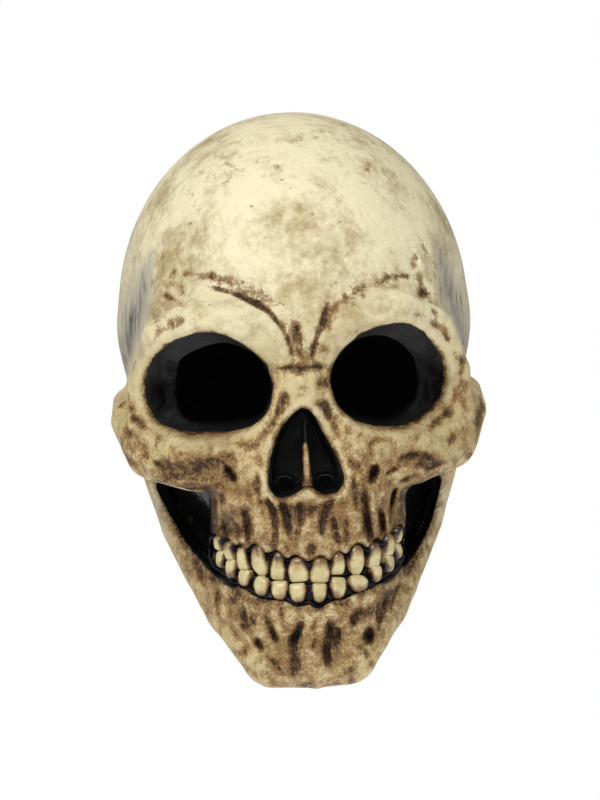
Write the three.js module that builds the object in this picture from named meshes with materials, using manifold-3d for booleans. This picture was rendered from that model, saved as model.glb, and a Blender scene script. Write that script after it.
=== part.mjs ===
// A full-head latex skull mask: a cast latex skin in a face shell and a rear shell, two rows of separate teeth in a
// dark bed, foam fitting pads, and two flaps beside the slit at the back that fold outwards to let a head in.
// Millimetres. The face looks along -Y, +Z is up, and left and right are the wearer's, so left is +X.
// The origin is the centre of the wearer's head, at eye height, on the mask's mid-plane.

import * as THREE from "three";
import { mergeVertices } from "three/addons/utils/BufferGeometryUtils.js";
import Module from "manifold-3d";

const wasm = await Module();
wasm.setup();

// ---------- driving sizes ----------
const WALL = 3; // thickness of the cast latex
const GAP = 0.4; // clearance between pieces that touch

const CRANIUM_HALF_WIDTH = 84.5;
const CRANIUM_HALF_LENGTH = 110;
const CRANIUM_HALF_HEIGHT = 95;
const CRANIUM_CENTRE = [0, 13, 34.5];

const NECK_HALF_WIDTH = 58.5; // at the rim
const NECK_HALF_LENGTH = 57;
const NECK_CENTRE_Y = 20;
const NECK_FLARE = 0.2; // extra half width for each millimetre of height
const RIM_Z = -80; // the trimmed lower edge at the sides and back
const RIM_FRONT_Y = -14; // where the edge turns down under the jaw
const CHIN_FLOOR_Y = -64; // rear end of the floor under the chin
const CHIN_FLOOR_Z = -134;

const CHEEKBONE_HALF_WIDTH = 88;
const SOCKET_CENTRE_X = 41;
const SOCKET_WIDTH = 55;
const SOCKET_HEIGHT = 46;
const SOCKET_WALL_DEPTH_Y = -70; // rear edge of the wall inside each eye socket

const NOSE_TOP_Z = -13;
const NOSE_WIDTH = 33;
const NOSE_HEIGHT = 40;
const NOSE_FLOOR_Y = -84;
const SEPTUM_THICKNESS = 3;
const SEPTUM_REACH = 12; // how far the septum stands out from the floor of the nose
const NOSTRIL_WIDTH = 8;
const NOSTRIL_HEIGHT = 6;

const ARCH_HALF_WIDTH = 43; // the curve that the tooth faces follow
const ARCH_DEPTH = 42;
const ARCH_CENTRE_Y = -65;
const UPPER_ROW_Z = -83; // middle of the upper front teeth
const ROW_RISE = 15; // how far the rows climb from the front teeth to the last molar
const ROW_GAP = 1; // between the edges of the upper and the lower teeth
const TOOTH_DEPTH = 6.5;
const UPPER_TOOTH_HEIGHT = 12.5;
const LOWER_TOOTH_HEIGHT = 9.5;
const TOOTH_SHARES = [9.2, 7.6, 9, 7.8, 7.8, 8.4]; // relative widths, from the front tooth to the last molar
const ROW_END = 1.33; // angle round the arch, from the front, at which the last molar ends
const TOOTH_PROUD = 0.6; // how far the teeth stand out of the arch
const BED_WALL = 2.5;
const BED_CLEARANCE = 1; // between the flat back of a tooth and the curved bed
const LIP_CLEARANCE = 1.35; // between a tooth and the lip of the bed, which follows the rise of the row
const GUM_LINE = 4.35; // height of the dark strip of bed that shows below the lower teeth

const CHIN_Z = -138;
const CHIN_HALF_WIDTH = 31;
const CHIN_FRONT_Y = -102;

const PARTING_Y = 22; // plane where the face shell meets the rear shell
const SLIT_WIDTH = 1.2;
const SLIT_TOP_Z = 8; // centre of the round hole that keeps the slit from tearing
const RELIEF_RADIUS = 6;
const FOLD_BOTTOM_X = 46; // where each flap's fold meets the rim

const PAD_THICKNESS = 11;
const TAPE_WIDTH = 16;
const TAPE_THICKNESS = 1.2;
const PANEL_THICKNESS = 2; // the dark panel behind each cheek opening
const PANEL_MARGIN = 3.5;

const LOWER_ROW_Z = UPPER_ROW_Z - (UPPER_TOOTH_HEIGHT + LOWER_TOOTH_HEIGHT) / 2 - ROW_GAP;
const BED_ABOVE = UPPER_TOOTH_HEIGHT / 2 + LIP_CLEARANCE + BED_WALL + GAP; // from the row to the edge of the opening
const BED_BELOW = LOWER_TOOTH_HEIGHT / 2 + GUM_LINE + BED_WALL + GAP;

// ---------- solid fields: negative inside, roughly the distance in millimetres ----------
const smoothMin = (a, b, reach) => {
  const h = Math.max(reach - Math.abs(a - b), 0) / reach;
  return Math.min(a, b) - (h * h * reach) / 4;
};
const smoothMax = (a, b, reach) => -smoothMin(-a, -b, reach);

function ellipsoid([x, y, z], [cx, cy, cz], [rx, ry, rz]) {
  const near = Math.hypot((x - cx) / rx, (y - cy) / ry, (z - cz) / rz);
  const slope = Math.hypot((x - cx) / (rx * rx), (y - cy) / (ry * ry), (z - cz) / (rz * rz));
  return (near * (near - 1)) / Math.max(slope, 1e-6);
}

// A chain of points [x, y, z, radius] joined by tapered rods.
function chain([x, y, z], points) {
  let nearest = Infinity;
  for (let i = 0; i + 1 < points.length; i++) {
    const [ax, ay, az, ar] = points[i];
    const [bx, by, bz, br] = points[i + 1];
    const [dx, dy, dz] = [bx - ax, by - ay, bz - az];
    const along = ((x - ax) * dx + (y - ay) * dy + (z - az) * dz) / (dx * dx + dy * dy + dz * dz);
    const t = THREE.MathUtils.clamp(along, 0, 1);
    const off = Math.hypot(x - ax - t * dx, y - ay - t * dy, z - az - t * dz);
    nearest = Math.min(nearest, off - ar - t * (br - ar));
  }
  return nearest;
}

// The oval column of the neck and jaw sides, wider towards the top.
function column([x, y, z]) {
  const grow = NECK_FLARE * Math.max(z - RIM_Z, -20);
  const [w, l] = [NECK_HALF_WIDTH + grow, NECK_HALF_LENGTH + grow * 2.2];
  const side = (Math.hypot(x / w, (y - NECK_CENTRE_Y) / l) - 1) * Math.min(w, l);
  return smoothMax(side, z - 30, 20);
}

const BROW = [
  [0, -92, 20, 11], [22, -93, 27, 10.5], [44, -87, 30, 10.5], [62, -72, 22, 10],
  [CHEEKBONE_HALF_WIDTH - 17, -58, 4, 8], [CHEEKBONE_HALF_WIDTH - 17, -56, -20, 9],
];
const CHEEKBONE = [
  [24, -86, -32, 11], [50, -76, -34, 12.5], [CHEEKBONE_HALF_WIDTH - 20, -58, -29, 13],
  [CHEEKBONE_HALF_WIDTH - 11, -38, -15, 11], [CHEEKBONE_HALF_WIDTH - 7.5, -14, -8, 7.5],
  [CHEEKBONE_HALF_WIDTH - 17, 10, -5, 7],
];
const NASAL_BONES = [[0, -88, 14, 11], [0, -97, -8, 9]];
const NOSE_SIDE = [[11, -90, -8, 9], [NOSE_WIDTH / 2 + 8, -88, -50, 12]];
const JAW = [
  [0, CHIN_FRONT_Y + 17, CHIN_Z + 18, 17], [CHIN_HALF_WIDTH - 15, CHIN_FRONT_Y + 19, CHIN_Z + 17, 15.5],
  [33, -62, -101, 12], [54, -28, -66, 12], [64, -14, -22, 12],
];
const JAW_FRONT = [[0, -84, -112, 14], [22, -76, -107, 14], [35, -58, -94, 12]];

const TEMPLE_HOLLOW = { centre: [CRANIUM_HALF_WIDTH + 7.5, -40, 26], radii: [21, 30, 40] };

// Fuller flesh behind the cheekbones, the rows of teeth and the jaw, so that the relief stays shallow.
const FACE_FILL = { centre: [0, -22, -26], radii: [74, 68, 62] };
const JAW_FILL = { centre: [0, -30, -74], radii: [55, 58, 50] };

// The rounded muzzle that carries the teeth.
function muzzle([x, y, z]) {
  const arch = (Math.hypot(x / ARCH_HALF_WIDTH, (y - ARCH_CENTRE_Y) / ARCH_DEPTH) - 1) * ARCH_DEPTH;
  const shrink = 0.12 * Math.max(z + 70, 0);
  const upper = smoothMax(arch + shrink, z + 30, 14);
  return smoothMax(upper, LOWER_ROW_Z - 14 - z, 8);
}

function skull([sx, y, z]) {
  const p = [Math.abs(sx), y, z];
  let d = ellipsoid(p, CRANIUM_CENTRE, [CRANIUM_HALF_WIDTH, CRANIUM_HALF_LENGTH, CRANIUM_HALF_HEIGHT]);
  d = smoothMax(d, -ellipsoid(p, TEMPLE_HOLLOW.centre, TEMPLE_HOLLOW.radii), 14);
  d = smoothMin(d, column(p), 16);
  d = smoothMin(d, ellipsoid(p, FACE_FILL.centre, FACE_FILL.radii), 14);
  d = smoothMin(d, ellipsoid(p, JAW_FILL.centre, JAW_FILL.radii), 12);
  d = smoothMin(d, chain(p, JAW), 12);
  d = smoothMin(d, chain(p, JAW_FRONT), 10);
  d = smoothMin(d, muzzle(p), 8);
  d = smoothMin(d, chain(p, NOSE_SIDE), 10);
  d = smoothMin(d, chain(p, NASAL_BONES), 8);
  d = smoothMin(d, chain(p, CHEEKBONE), 8);
  return smoothMin(d, chain(p, BROW), 8);
}

// The distance from the core point, along a unit direction, at which the skull's surface lies `depth` below its skin.
const CORE = new THREE.Vector3(0, 4, 4);
const REACH = 240;
function reachAlong(direction, depth) {
  const at = (r) => skull([CORE.x + direction.x * r, CORE.y + direction.y * r, CORE.z + direction.z * r]) + depth;
  let outside = REACH;
  let inside = REACH;
  while (inside > 0 && at(inside) > 0) {
    outside = inside;
    inside -= 2;
  }
  for (let i = 0; i < 14; i++) {
    const middle = (inside + outside) / 2;
    if (at(middle) > 0) outside = middle;
    else inside = middle;
  }
  return (inside + outside) / 2;
}
const pointAlong = (direction, depth) => direction.clone().multiplyScalar(reachAlong(direction, depth)).add(CORE);

// Direction for an azimuth from the face (0 is straight ahead, positive to the left) and an elevation, in radians.
const heading = (azimuth, elevation) =>
  new THREE.Vector3(
    Math.sin(azimuth) * Math.cos(elevation), -Math.cos(azimuth) * Math.cos(elevation), Math.sin(elevation));

// ---------- solids ----------
function solidOf(geometry) {
  const bare = geometry.clone();
  bare.deleteAttribute("normal");
  bare.deleteAttribute("uv");
  const merged = mergeVertices(bare, 1e-3);
  return new wasm.Manifold(
    new wasm.Mesh({
      numProp: 3,
      vertProperties: merged.attributes.position.array,
      triVerts: new Uint32Array(merged.index.array),
    }),
  );
}

function geometryOf(solid) {
  const mesh = solid.getMesh();
  return new THREE.BufferGeometry()
    .setAttribute("position", new THREE.BufferAttribute(new Float32Array(mesh.vertProperties), 3))
    .setIndex(new THREE.BufferAttribute(new Uint32Array(mesh.triVerts), 1));
}

// The closed form of the whole skull at a depth under its surface: a sphere whose points are moved onto it. The
// columns stand closer together round the face.
const COLUMNS = 46;
const ROWS = 32;
function skullForm(depth) {
  const form = new THREE.SphereGeometry(1, COLUMNS, ROWS);
  const position = form.attributes.position;
  for (let i = 0; i < position.count; i++) {
    const column = i % (COLUMNS + 1);
    const row = Math.floor(i / (COLUMNS + 1));
    const turn = (2 * Math.PI * (column % COLUMNS)) / COLUMNS;
    const azimuth = turn - 0.42 * Math.sin(turn);
    const elevation = Math.PI / 2 - (Math.PI * row) / ROWS;
    const p = pointAlong(heading(azimuth, elevation), depth);
    position.setXYZ(i, p.x, p.y, p.z);
  }
  return solidOf(form);
}

// A prism whose outline is drawn in the front view, as x and z, between two depths.
function frontPrism(shape, nearY, farY) {
  const prism = new THREE.ExtrudeGeometry(shape, { depth: farY - nearY, bevelEnabled: false, curveSegments: 6 });
  prism.rotateX(Math.PI / 2); // (x, y, depth) to (x, -depth, y)
  prism.translate(0, farY, 0);
  return solidOf(prism);
}

// A prism whose outline is drawn in the side view, as y and z, across the whole width.
function sidePrism(points, fromX, toX) {
  const outline = new THREE.Shape(points.map(([y, z]) => new THREE.Vector2(y, z)));
  const prism = new THREE.ExtrudeGeometry(outline, { depth: toX - fromX, bevelEnabled: false });
  prism.applyMatrix4(new THREE.Matrix4().set(0, 0, 1, fromX, 1, 0, 0, 0, 0, 1, 0, 0, 0, 0, 0, 1));
  return solidOf(prism);
}

const box = (x0, y0, z0, x1, y1, z1) =>
  solidOf(new THREE.BoxGeometry(x1 - x0, y1 - y0, z1 - z0).translate((x0 + x1) / 2, (y0 + y1) / 2, (z0 + z1) / 2));

const closedCurve = (points, samples) =>
  new THREE.Shape(
    new THREE.CatmullRomCurve3(points.map(([x, z]) => new THREE.Vector3(x, z, 0)), true, "centripetal")
      .getPoints(samples)
      .slice(0, -1)
      .map((p) => new THREE.Vector2(p.x, p.y)),
  );
const mirrored = (points) => points.map(([x, z]) => [-x, z]).reverse();
const bothSides = (points) => [points, mirrored(points)];

// ---------- outlines in the front view ----------
// The left eye socket, grown outwards by `margin`.
function socketOutline(margin) {
  const [w, h] = [SOCKET_WIDTH / 2 + margin, SOCKET_HEIGHT / 2 + margin];
  return [[-w, 0.05 * h], [-0.62 * w, 0.72 * h], [-0.05 * w, h], [0.6 * w, 0.84 * h], [w, 0.1 * h], [0.8 * w, -0.66 * h],
    [0.2 * w, -h], [-0.5 * w, -0.8 * h]].map(([x, z]) => [SOCKET_CENTRE_X + x, z]);
}
function noseOutline(margin) {
  const [w, h] = [NOSE_WIDTH / 2 + margin, NOSE_HEIGHT / 2 + margin];
  const middle = NOSE_TOP_Z - NOSE_HEIGHT / 2;
  return [[0, h], [0.5 * w, 0.35 * h], [w, -0.55 * h], [0.62 * w, -h], [0, -0.82 * h], [-0.62 * w, -h],
    [-w, -0.55 * h], [-0.5 * w, 0.35 * h]].map(([x, z]) => [x, middle + z]);
}
const rowZ = (middleZ, x) => middleZ + ROW_RISE * (x / ARCH_HALF_WIDTH) ** 2;
const MOUTH_HALF_WIDTH = ARCH_HALF_WIDTH;
function mouthOutline(margin) {
  const side = [-1, -0.75, -0.4, 0, 0.4, 0.75, 1].map((share) => share * (MOUTH_HALF_WIDTH + margin));
  const top = side.map((x) => [x, rowZ(UPPER_ROW_Z, x) + BED_ABOVE + margin]);
  const bottom = side.map((x) => [x, rowZ(LOWER_ROW_Z, x) - BED_BELOW + 2 * (x / ARCH_HALF_WIDTH) ** 2 - margin]);
  return [...bottom, ...top.reverse()];
}
// The left hollow under the cheekbone, grown outwards by `margin`.
const CHEEK_MIDDLE = new THREE.Vector2(56, -60);
function cheekOutline(margin) {
  return [[50, -48], [67, -47], [62, -59], [55, -71], [50, -77], [49, -65]].map((corner) => {
    const fromMiddle = new THREE.Vector2(...corner).sub(CHEEK_MIDDLE);
    return CHEEK_MIDDLE.clone().add(fromMiddle.setLength(fromMiddle.length() + margin)).toArray();
  });
}

// ---------- skins ----------
const outer = skullForm(0);
const inner = skullForm(WALL);

function castSkin() {
  let skin = outer.subtract(inner);
  for (const outline of bothSides(socketOutline(WALL))) {
    skin = skin.add(frontPrism(closedCurve(outline, 32), -130, SOCKET_WALL_DEPTH_Y).intersect(outer));
  }
  const nosePocket = frontPrism(closedCurve(noseOutline(WALL), 28), -130, NOSE_FLOOR_Y + WALL);
  skin = skin.add(nosePocket.intersect(outer));
  for (const outline of bothSides(socketOutline(0))) {
    skin = skin.subtract(frontPrism(closedCurve(outline, 32), -130, -30));
  }
  skin = skin.subtract(frontPrism(closedCurve(noseOutline(0), 28), -130, NOSE_FLOOR_Y));
  for (const side of [-1, 1]) {
    const x = side * NOSE_WIDTH * 0.29;
    const z = NOSE_TOP_Z - NOSE_HEIGHT + 8;
    skin = skin.subtract(
      box(x - NOSTRIL_WIDTH / 2, -130, z - NOSTRIL_HEIGHT / 2, x + NOSTRIL_WIDTH / 2, -40, z + NOSTRIL_HEIGHT / 2));
  }
  for (const outline of bothSides(cheekOutline(0))) {
    skin = skin.subtract(frontPrism(closedCurve(outline, 20), -130, -10));
  }
  skin = skin.subtract(frontPrism(closedCurve(mouthOutline(0), 48), -130, ARCH_CENTRE_Y));
  const below = sidePrism(
    [[200, RIM_Z], [RIM_FRONT_Y, RIM_Z], [CHIN_FLOOR_Y, CHIN_FLOOR_Z], [CHIN_FLOOR_Y, -200], [200, -200]], -150, 150);
  return skin.subtract(below);
}

const skin = castSkin();
const faceSkin = skin.intersect(box(-150, -200, -200, 150, PARTING_Y - GAP / 2, 200));
const rearWhole = skin.intersect(box(-150, PARTING_Y + GAP / 2, -200, 150, 200, 200));

// The outline of one flap in the rear view: the slit on one side, the slanting fold on the other.
function flapOutline(side, shift) {
  const lean = (FOLD_BOTTOM_X - RELIEF_RADIUS) / (SLIT_TOP_Z - RIM_Z);
  const low = RIM_Z - 30;
  const points = [[SLIT_WIDTH / 2, low], [SLIT_WIDTH / 2, SLIT_TOP_Z], [RELIEF_RADIUS + shift, SLIT_TOP_Z],
    [RELIEF_RADIUS + lean * (SLIT_TOP_Z - low) + shift, low]];
  return new THREE.Shape(points.map(([x, z]) => new THREE.Vector2(side * x, z)));
}
const reliefHole = solidOf(
  new THREE.CylinderGeometry(RELIEF_RADIUS, RELIEF_RADIUS, 100, 16).translate(0, 120, SLIT_TOP_Z));
const flapOf = (side) =>
  rearWhole.subtract(reliefHole).intersect(frontPrism(flapOutline(side, -GAP / 2), PARTING_Y, 200));
const rearFixed = [-1, 1].reduce(
  (rest, side) => rest.subtract(frontPrism(flapOutline(side, GAP / 2), PARTING_Y, 200)),
  rearWhole.subtract(reliefHole).subtract(box(-SLIT_WIDTH, 0, -200, SLIT_WIDTH, 200, SLIT_TOP_Z)));

// ---------- lining: everything that sits against the inside of the skin ----------
const liningOuter = skullForm(WALL + GAP);
function layer(thickness) {
  return liningOuter.subtract(skullForm(WALL + GAP + thickness));
}
const padLayer = layer(PAD_THICKNESS);
const tapeLayer = layer(TAPE_THICKNESS);
const panelLayer = layer(PANEL_THICKNESS);

// An oval block lying along an axis, to cut one pad out of the padding layer.
function ovalBlock(axis, centre, radii, length) {
  const block = new THREE.CylinderGeometry(1, 1, 1, 18);
  if (axis === "x") block.rotateZ(Math.PI / 2);
  if (axis === "z") block.rotateX(Math.PI / 2);
  const scale = { x: [length, radii[0], radii[1]], y: [radii[0], length, radii[1]], z: [radii[0], radii[1], length] };
  return solidOf(block.scale(...scale[axis]).translate(...centre));
}

// ---------- mouth ----------
// The upright block inside the arch, moved inwards by `inset`.
function archBlock(inset) {
  const arch = new THREE.Shape();
  arch.absellipse(0, -ARCH_CENTRE_Y, ARCH_HALF_WIDTH - inset, ARCH_DEPTH - inset, 0, Math.PI, false);
  arch.lineTo(-ARCH_HALF_WIDTH + inset, -ARCH_CENTRE_Y - 3);
  arch.lineTo(ARCH_HALF_WIDTH - inset, -ARCH_CENTRE_Y - 3);
  const block = new THREE.ExtrudeGeometry(arch, { depth: 120, bevelEnabled: false, curveSegments: 14 });
  return solidOf(block.rotateX(Math.PI).translate(0, 0, -30));
}
// A tray that fills the mouth opening: a wall behind the teeth and a lip above and below them.
const bedBack = TOOTH_DEPTH - TOOTH_PROUD + BED_CLEARANCE;
const bedWhole = frontPrism(closedCurve(mouthOutline(-GAP), 48), -130, ARCH_CENTRE_Y + 3)
  .intersect(archBlock(1.5))
  .subtract(archBlock(bedBack + BED_WALL))
  .subtract(frontPrism(closedCurve(mouthOutline(-GAP - BED_WALL), 48), -130, 0).subtract(archBlock(bedBack)));

// The strip of the mouth above or below the line where the rows meet.
function mouthHalf(side) {
  const middle = (UPPER_ROW_Z + LOWER_ROW_Z) / 2 + 1 + (side * GAP) / 2;
  const line = [-60, -40, -20, 0, 20, 40, 60].map((x) => [x, rowZ(middle, x)]);
  const far = side > 0 ? 20 : -160;
  const shape = new THREE.Shape([...line, [60, far], [-60, far]].map(([x, z]) => new THREE.Vector2(x, z)));
  return frontPrism(shape, -130, 0);
}

// One tooth: a block that narrows to its edge and is rounded at its corners.
function toothForm(width, height, taper) {
  const form = new THREE.BoxGeometry(width, TOOTH_DEPTH, height, 2, 2, 2);
  const position = form.attributes.position;
  for (let i = 0; i < position.count; i++) {
    const [u, v, w] = [
      position.getX(i) / (width / 2), position.getY(i) / (TOOTH_DEPTH / 2), position.getZ(i) / (height / 2)];
    const pull = 1 - 0.07 * (Math.abs(u) + Math.abs(v) + Math.abs(w) - 1);
    const narrow = 1 - taper * (0.5 + 0.5 * w);
    position.setXYZ(i, (u * pull * narrow * width) / 2, (v * pull * TOOTH_DEPTH) / 2, (w * pull * height) / 2);
  }
  return form;
}
// Where the middle of each tooth stands: walk round the arch by the widths of the teeth.
function archStations() {
  const radii = [ARCH_HALF_WIDTH - TOOTH_DEPTH / 2 + TOOTH_PROUD, ARCH_DEPTH - TOOTH_DEPTH / 2 + TOOTH_PROUD];
  const at = (angle) => new THREE.Vector2(radii[0] * Math.sin(angle), ARCH_CENTRE_Y - radii[1] * Math.cos(angle));
  let length = 0;
  for (let a = 0; a < ROW_END; a += 0.002) length += at(a + 0.002).distanceTo(at(a));
  const shares = TOOTH_SHARES.reduce((sum, share) => sum + share + GAP, 0);
  const stations = [];
  let [angle, walked, target] = [0, 0, 0];
  for (const share of TOOTH_SHARES) {
    const width = (share * length) / shares;
    target += width / 2 + GAP / 2;
    while (walked < target) {
      walked += at(angle + 0.002).distanceTo(at(angle));
      angle += 0.002;
    }
    const ahead = at(angle + 0.01).sub(at(angle - 0.01));
    stations.push({ point: at(angle), turn: Math.atan2(ahead.y, ahead.x), width });
    target += width / 2 + GAP / 2;
  }
  return stations;
}

// ---------- pieces ----------
const LATEX = new THREE.MeshStandardMaterial({ color: 0xd8c795, roughness: 0.55, metalness: 0 });
const DARK_LATEX = new THREE.MeshStandardMaterial({ color: 0x0d0b0a, roughness: 0.3, metalness: 0 });
const TOOTH = new THREE.MeshStandardMaterial({ color: 0xc9b27d, roughness: 0.45, metalness: 0 });
const FOAM = new THREE.MeshStandardMaterial({ color: 0x2b2c2e, roughness: 0.95, metalness: 0 });
const TAPE = new THREE.MeshStandardMaterial({ color: 0x1d1c1b, roughness: 0.85, metalness: 0 });

const mask = new THREE.Group();
function addPiece(name, form, material) {
  const mesh = new THREE.Mesh(form.isBufferGeometry ? form : geometryOf(form), material);
  mesh.name = name;
  mask.add(mesh);
  return mesh;
}

addPiece("face_skin", faceSkin, LATEX);
addPiece("rear_skin", rearFixed, LATEX);
addPiece("left_rear_flap", flapOf(1), LATEX);
addPiece("right_rear_flap", flapOf(-1), LATEX);

const septumTop = NOSE_TOP_Z - NOSE_HEIGHT * 0.3;
const septumBottom = NOSE_TOP_Z - NOSE_HEIGHT + 5;
const septumHalf = SEPTUM_THICKNESS / 2;
const septumFront = NOSE_FLOOR_Y - SEPTUM_REACH;
const septum = box(-septumHalf, septumFront, septumBottom, septumHalf, NOSE_FLOOR_Y - GAP, septumTop);
addPiece("nasal_septum", septum, LATEX);

const [leftCheek, rightCheek] = bothSides(cheekOutline(PANEL_MARGIN)).map((outline) =>
  panelLayer.intersect(frontPrism(closedCurve(outline, 18), -130, -12)));
addPiece("left_cheek_panel", leftCheek, DARK_LATEX);
addPiece("right_cheek_panel", rightCheek, DARK_LATEX);

addPiece("upper_bed", bedWhole.intersect(mouthHalf(1)), DARK_LATEX);
addPiece("lower_bed", bedWhole.intersect(mouthHalf(-1)), DARK_LATEX);

for (const [side, sign] of [["left", 1], ["right", -1]]) {
  archStations().forEach(({ point, turn, width }, place) => {
    const rows = [["upper", UPPER_ROW_Z, UPPER_TOOTH_HEIGHT, 0.16], ["lower", LOWER_ROW_Z, LOWER_TOOTH_HEIGHT, -0.14]];
    for (const [row, middleZ, height, taper] of rows) {
      const tooth = toothForm(width - 0.3, height, taper);
      tooth.rotateZ(sign * turn);
      tooth.translate(sign * point.x, point.y, rowZ(middleZ, point.x));
      addPiece(`${row}_${side}_tooth_${place + 1}`, tooth, TOOTH);
    }
  });
}

const pads = {
  forehead_pad: ovalBlock("y", [0, -60, 68], [40, 17], 100),
  crown_pad: ovalBlock("z", [0, -24, 120], [34, 30], 100),
  left_temple_pad: ovalBlock("x", [80, -18, 52], [20, 18], 80),
  right_temple_pad: ovalBlock("x", [-80, -18, 52], [20, 18], 80),
  rear_pad: ovalBlock("y", [0, 110, 60], [42, 24], 90),
};
for (const [name, block] of Object.entries(pads)) addPiece(name, padLayer.intersect(block), FOAM);

const tapeBand = box(-150, PARTING_Y - TAPE_WIDTH / 2, RIM_Z + 3, 150, PARTING_Y + TAPE_WIDTH / 2, 200);
addPiece("parting_tape", tapeLayer.intersect(tapeBand), TAPE);
const patchBlock = box(-16, 60, SLIT_TOP_Z + RELIEF_RADIUS + 2, 16, 200, SLIT_TOP_Z + 24);
addPiece("slit_patch", tapeLayer.intersect(patchBlock), TAPE);

export default mask;
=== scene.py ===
import math
import bpy
import bmesh
import numpy as np
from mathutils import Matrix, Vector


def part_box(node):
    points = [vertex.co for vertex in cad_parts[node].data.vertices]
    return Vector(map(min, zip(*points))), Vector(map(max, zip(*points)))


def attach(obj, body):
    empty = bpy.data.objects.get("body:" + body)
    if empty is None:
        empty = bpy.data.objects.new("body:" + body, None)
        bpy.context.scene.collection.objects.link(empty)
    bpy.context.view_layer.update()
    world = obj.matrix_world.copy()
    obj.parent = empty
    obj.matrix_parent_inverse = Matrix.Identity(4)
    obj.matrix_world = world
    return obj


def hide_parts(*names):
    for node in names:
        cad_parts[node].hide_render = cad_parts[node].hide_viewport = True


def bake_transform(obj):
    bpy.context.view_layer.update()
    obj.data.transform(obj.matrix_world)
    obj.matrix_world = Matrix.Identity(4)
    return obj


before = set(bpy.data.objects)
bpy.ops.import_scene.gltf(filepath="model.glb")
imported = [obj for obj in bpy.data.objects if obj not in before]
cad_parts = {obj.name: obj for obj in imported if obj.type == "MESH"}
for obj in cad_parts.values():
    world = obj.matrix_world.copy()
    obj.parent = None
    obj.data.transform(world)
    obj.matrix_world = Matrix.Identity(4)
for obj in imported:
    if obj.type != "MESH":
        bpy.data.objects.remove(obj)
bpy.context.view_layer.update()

import openvdb
from mathutils import Matrix, Vector

# ------------------------------------------------------------------------------------------------
# The view: the mask hangs in front of a plain white studio wall. It is seen from two degrees above
# level, with the camera rolled by two degrees. Soft light comes from a broad box above, one on each
# side and a weak one in front.
# ------------------------------------------------------------------------------------------------
CAMERA_DISTANCE = 1.3
CAMERA_TURN = math.radians(-1.3)
CAMERA_PITCH = math.radians(2.0)
CAMERA_ROLL = math.radians(-2.0)
SENSOR_HEIGHT = 36.0
VIEW_HEIGHT = 0.3859  # what the frame's height covers at the mask's middle
CAMERA_SLIDE = (0.0015, -0.0096)

scene = bpy.context.scene
scene.view_settings.view_transform = "Standard"

flat_ahead = Vector((-math.sin(CAMERA_TURN), math.cos(CAMERA_TURN), 0))
flat_right = Vector((math.cos(CAMERA_TURN), math.sin(CAMERA_TURN), 0))
ahead = flat_ahead * math.cos(CAMERA_PITCH) - Vector((0, 0, math.sin(CAMERA_PITCH)))
above = flat_ahead * math.sin(CAMERA_PITCH) + Vector((0, 0, math.cos(CAMERA_PITCH)))
right = flat_right * math.cos(CAMERA_ROLL) + above * math.sin(CAMERA_ROLL)
up = above * math.cos(CAMERA_ROLL) - flat_right * math.sin(CAMERA_ROLL)

camera_data = bpy.data.cameras.new("camera")
camera_data.sensor_fit = "VERTICAL"
camera_data.sensor_height = SENSOR_HEIGHT
camera_data.lens = SENSOR_HEIGHT * CAMERA_DISTANCE / VIEW_HEIGHT
camera = bpy.data.objects.new("camera", camera_data)
scene.collection.objects.link(camera)
spot = -ahead * CAMERA_DISTANCE + flat_right * CAMERA_SLIDE[0] + above * CAMERA_SLIDE[1]
camera.matrix_world = Matrix.Translation(spot) @ Matrix((right, up, -ahead)).transposed().to_4x4()
scene.camera = camera


def add_light(name, place, towards, width, height, watts):
    data = bpy.data.lights.new(name, "AREA")
    data.shape = "RECTANGLE"
    data.size = width
    data.size_y = height
    data.energy = watts
    lamp = bpy.data.objects.new(name, data)
    scene.collection.objects.link(lamp)
    lamp.location = place
    lamp.rotation_euler = (Vector(towards) - Vector(place)).to_track_quat("-Z", "Y").to_euler()


add_light("key_box", (-0.3, -0.9, 1.1), (0, -0.02, 0.02), 0.8, 0.5, 16)
add_light("left_box", (1.2, -0.6, 0.1), (0, 0, 0), 0.4, 1.2, 2.6)
add_light("right_box", (-1.2, -0.6, 0.1), (0, 0, 0), 0.4, 1.2, 2.6)
add_light("front_fill", (0.1, -1.8, 0.1), (0, 0, -0.02), 0.7, 0.7, 2.4)

WALL_GLOW = 1.0  # how bright the white wall looks
WALL_LIGHT = 0.28  # how much of it reaches the mask
world = bpy.data.worlds.new("white_studio")
world.use_nodes = True
wall_nodes, wall_links = world.node_tree.nodes, world.node_tree.links
seen = wall_nodes.new("ShaderNodeLightPath")
strength = wall_nodes.new("ShaderNodeMix")
strength.inputs["A"].default_value = WALL_LIGHT
strength.inputs["B"].default_value = WALL_GLOW
wall_links.new(seen.outputs["Is Camera Ray"], strength.inputs["Factor"])
wall_links.new(strength.outputs["Result"], wall_nodes["Background"].inputs["Strength"])
wall_nodes["Background"].inputs["Color"].default_value = (1, 1, 1, 1)
scene.world = world

FLOOR_Z = -0.75
FLOOR_REACH = 2.2
FLOOR_GLOW = 0.8
bpy.ops.mesh.primitive_plane_add(size=2 * FLOOR_REACH, location=(0, 0, FLOOR_Z))
floor = bpy.context.object
floor.name = "floor"
floor_paint = bpy.data.materials.new("floor_paint")
floor_paint.use_nodes = True
floor_paint.node_tree.nodes["Principled BSDF"].inputs["Base Color"].default_value = (0.92, 0.92, 0.92, 1)
floor_paint.node_tree.nodes["Principled BSDF"].inputs["Roughness"].default_value = 0.9
floor_paint.node_tree.nodes["Principled BSDF"].inputs["Emission Color"].default_value = (1, 1, 1, 1)
floor_paint.node_tree.nodes["Principled BSDF"].inputs["Emission Strength"].default_value = FLOOR_GLOW
floor.data.materials.append(floor_paint)

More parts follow.
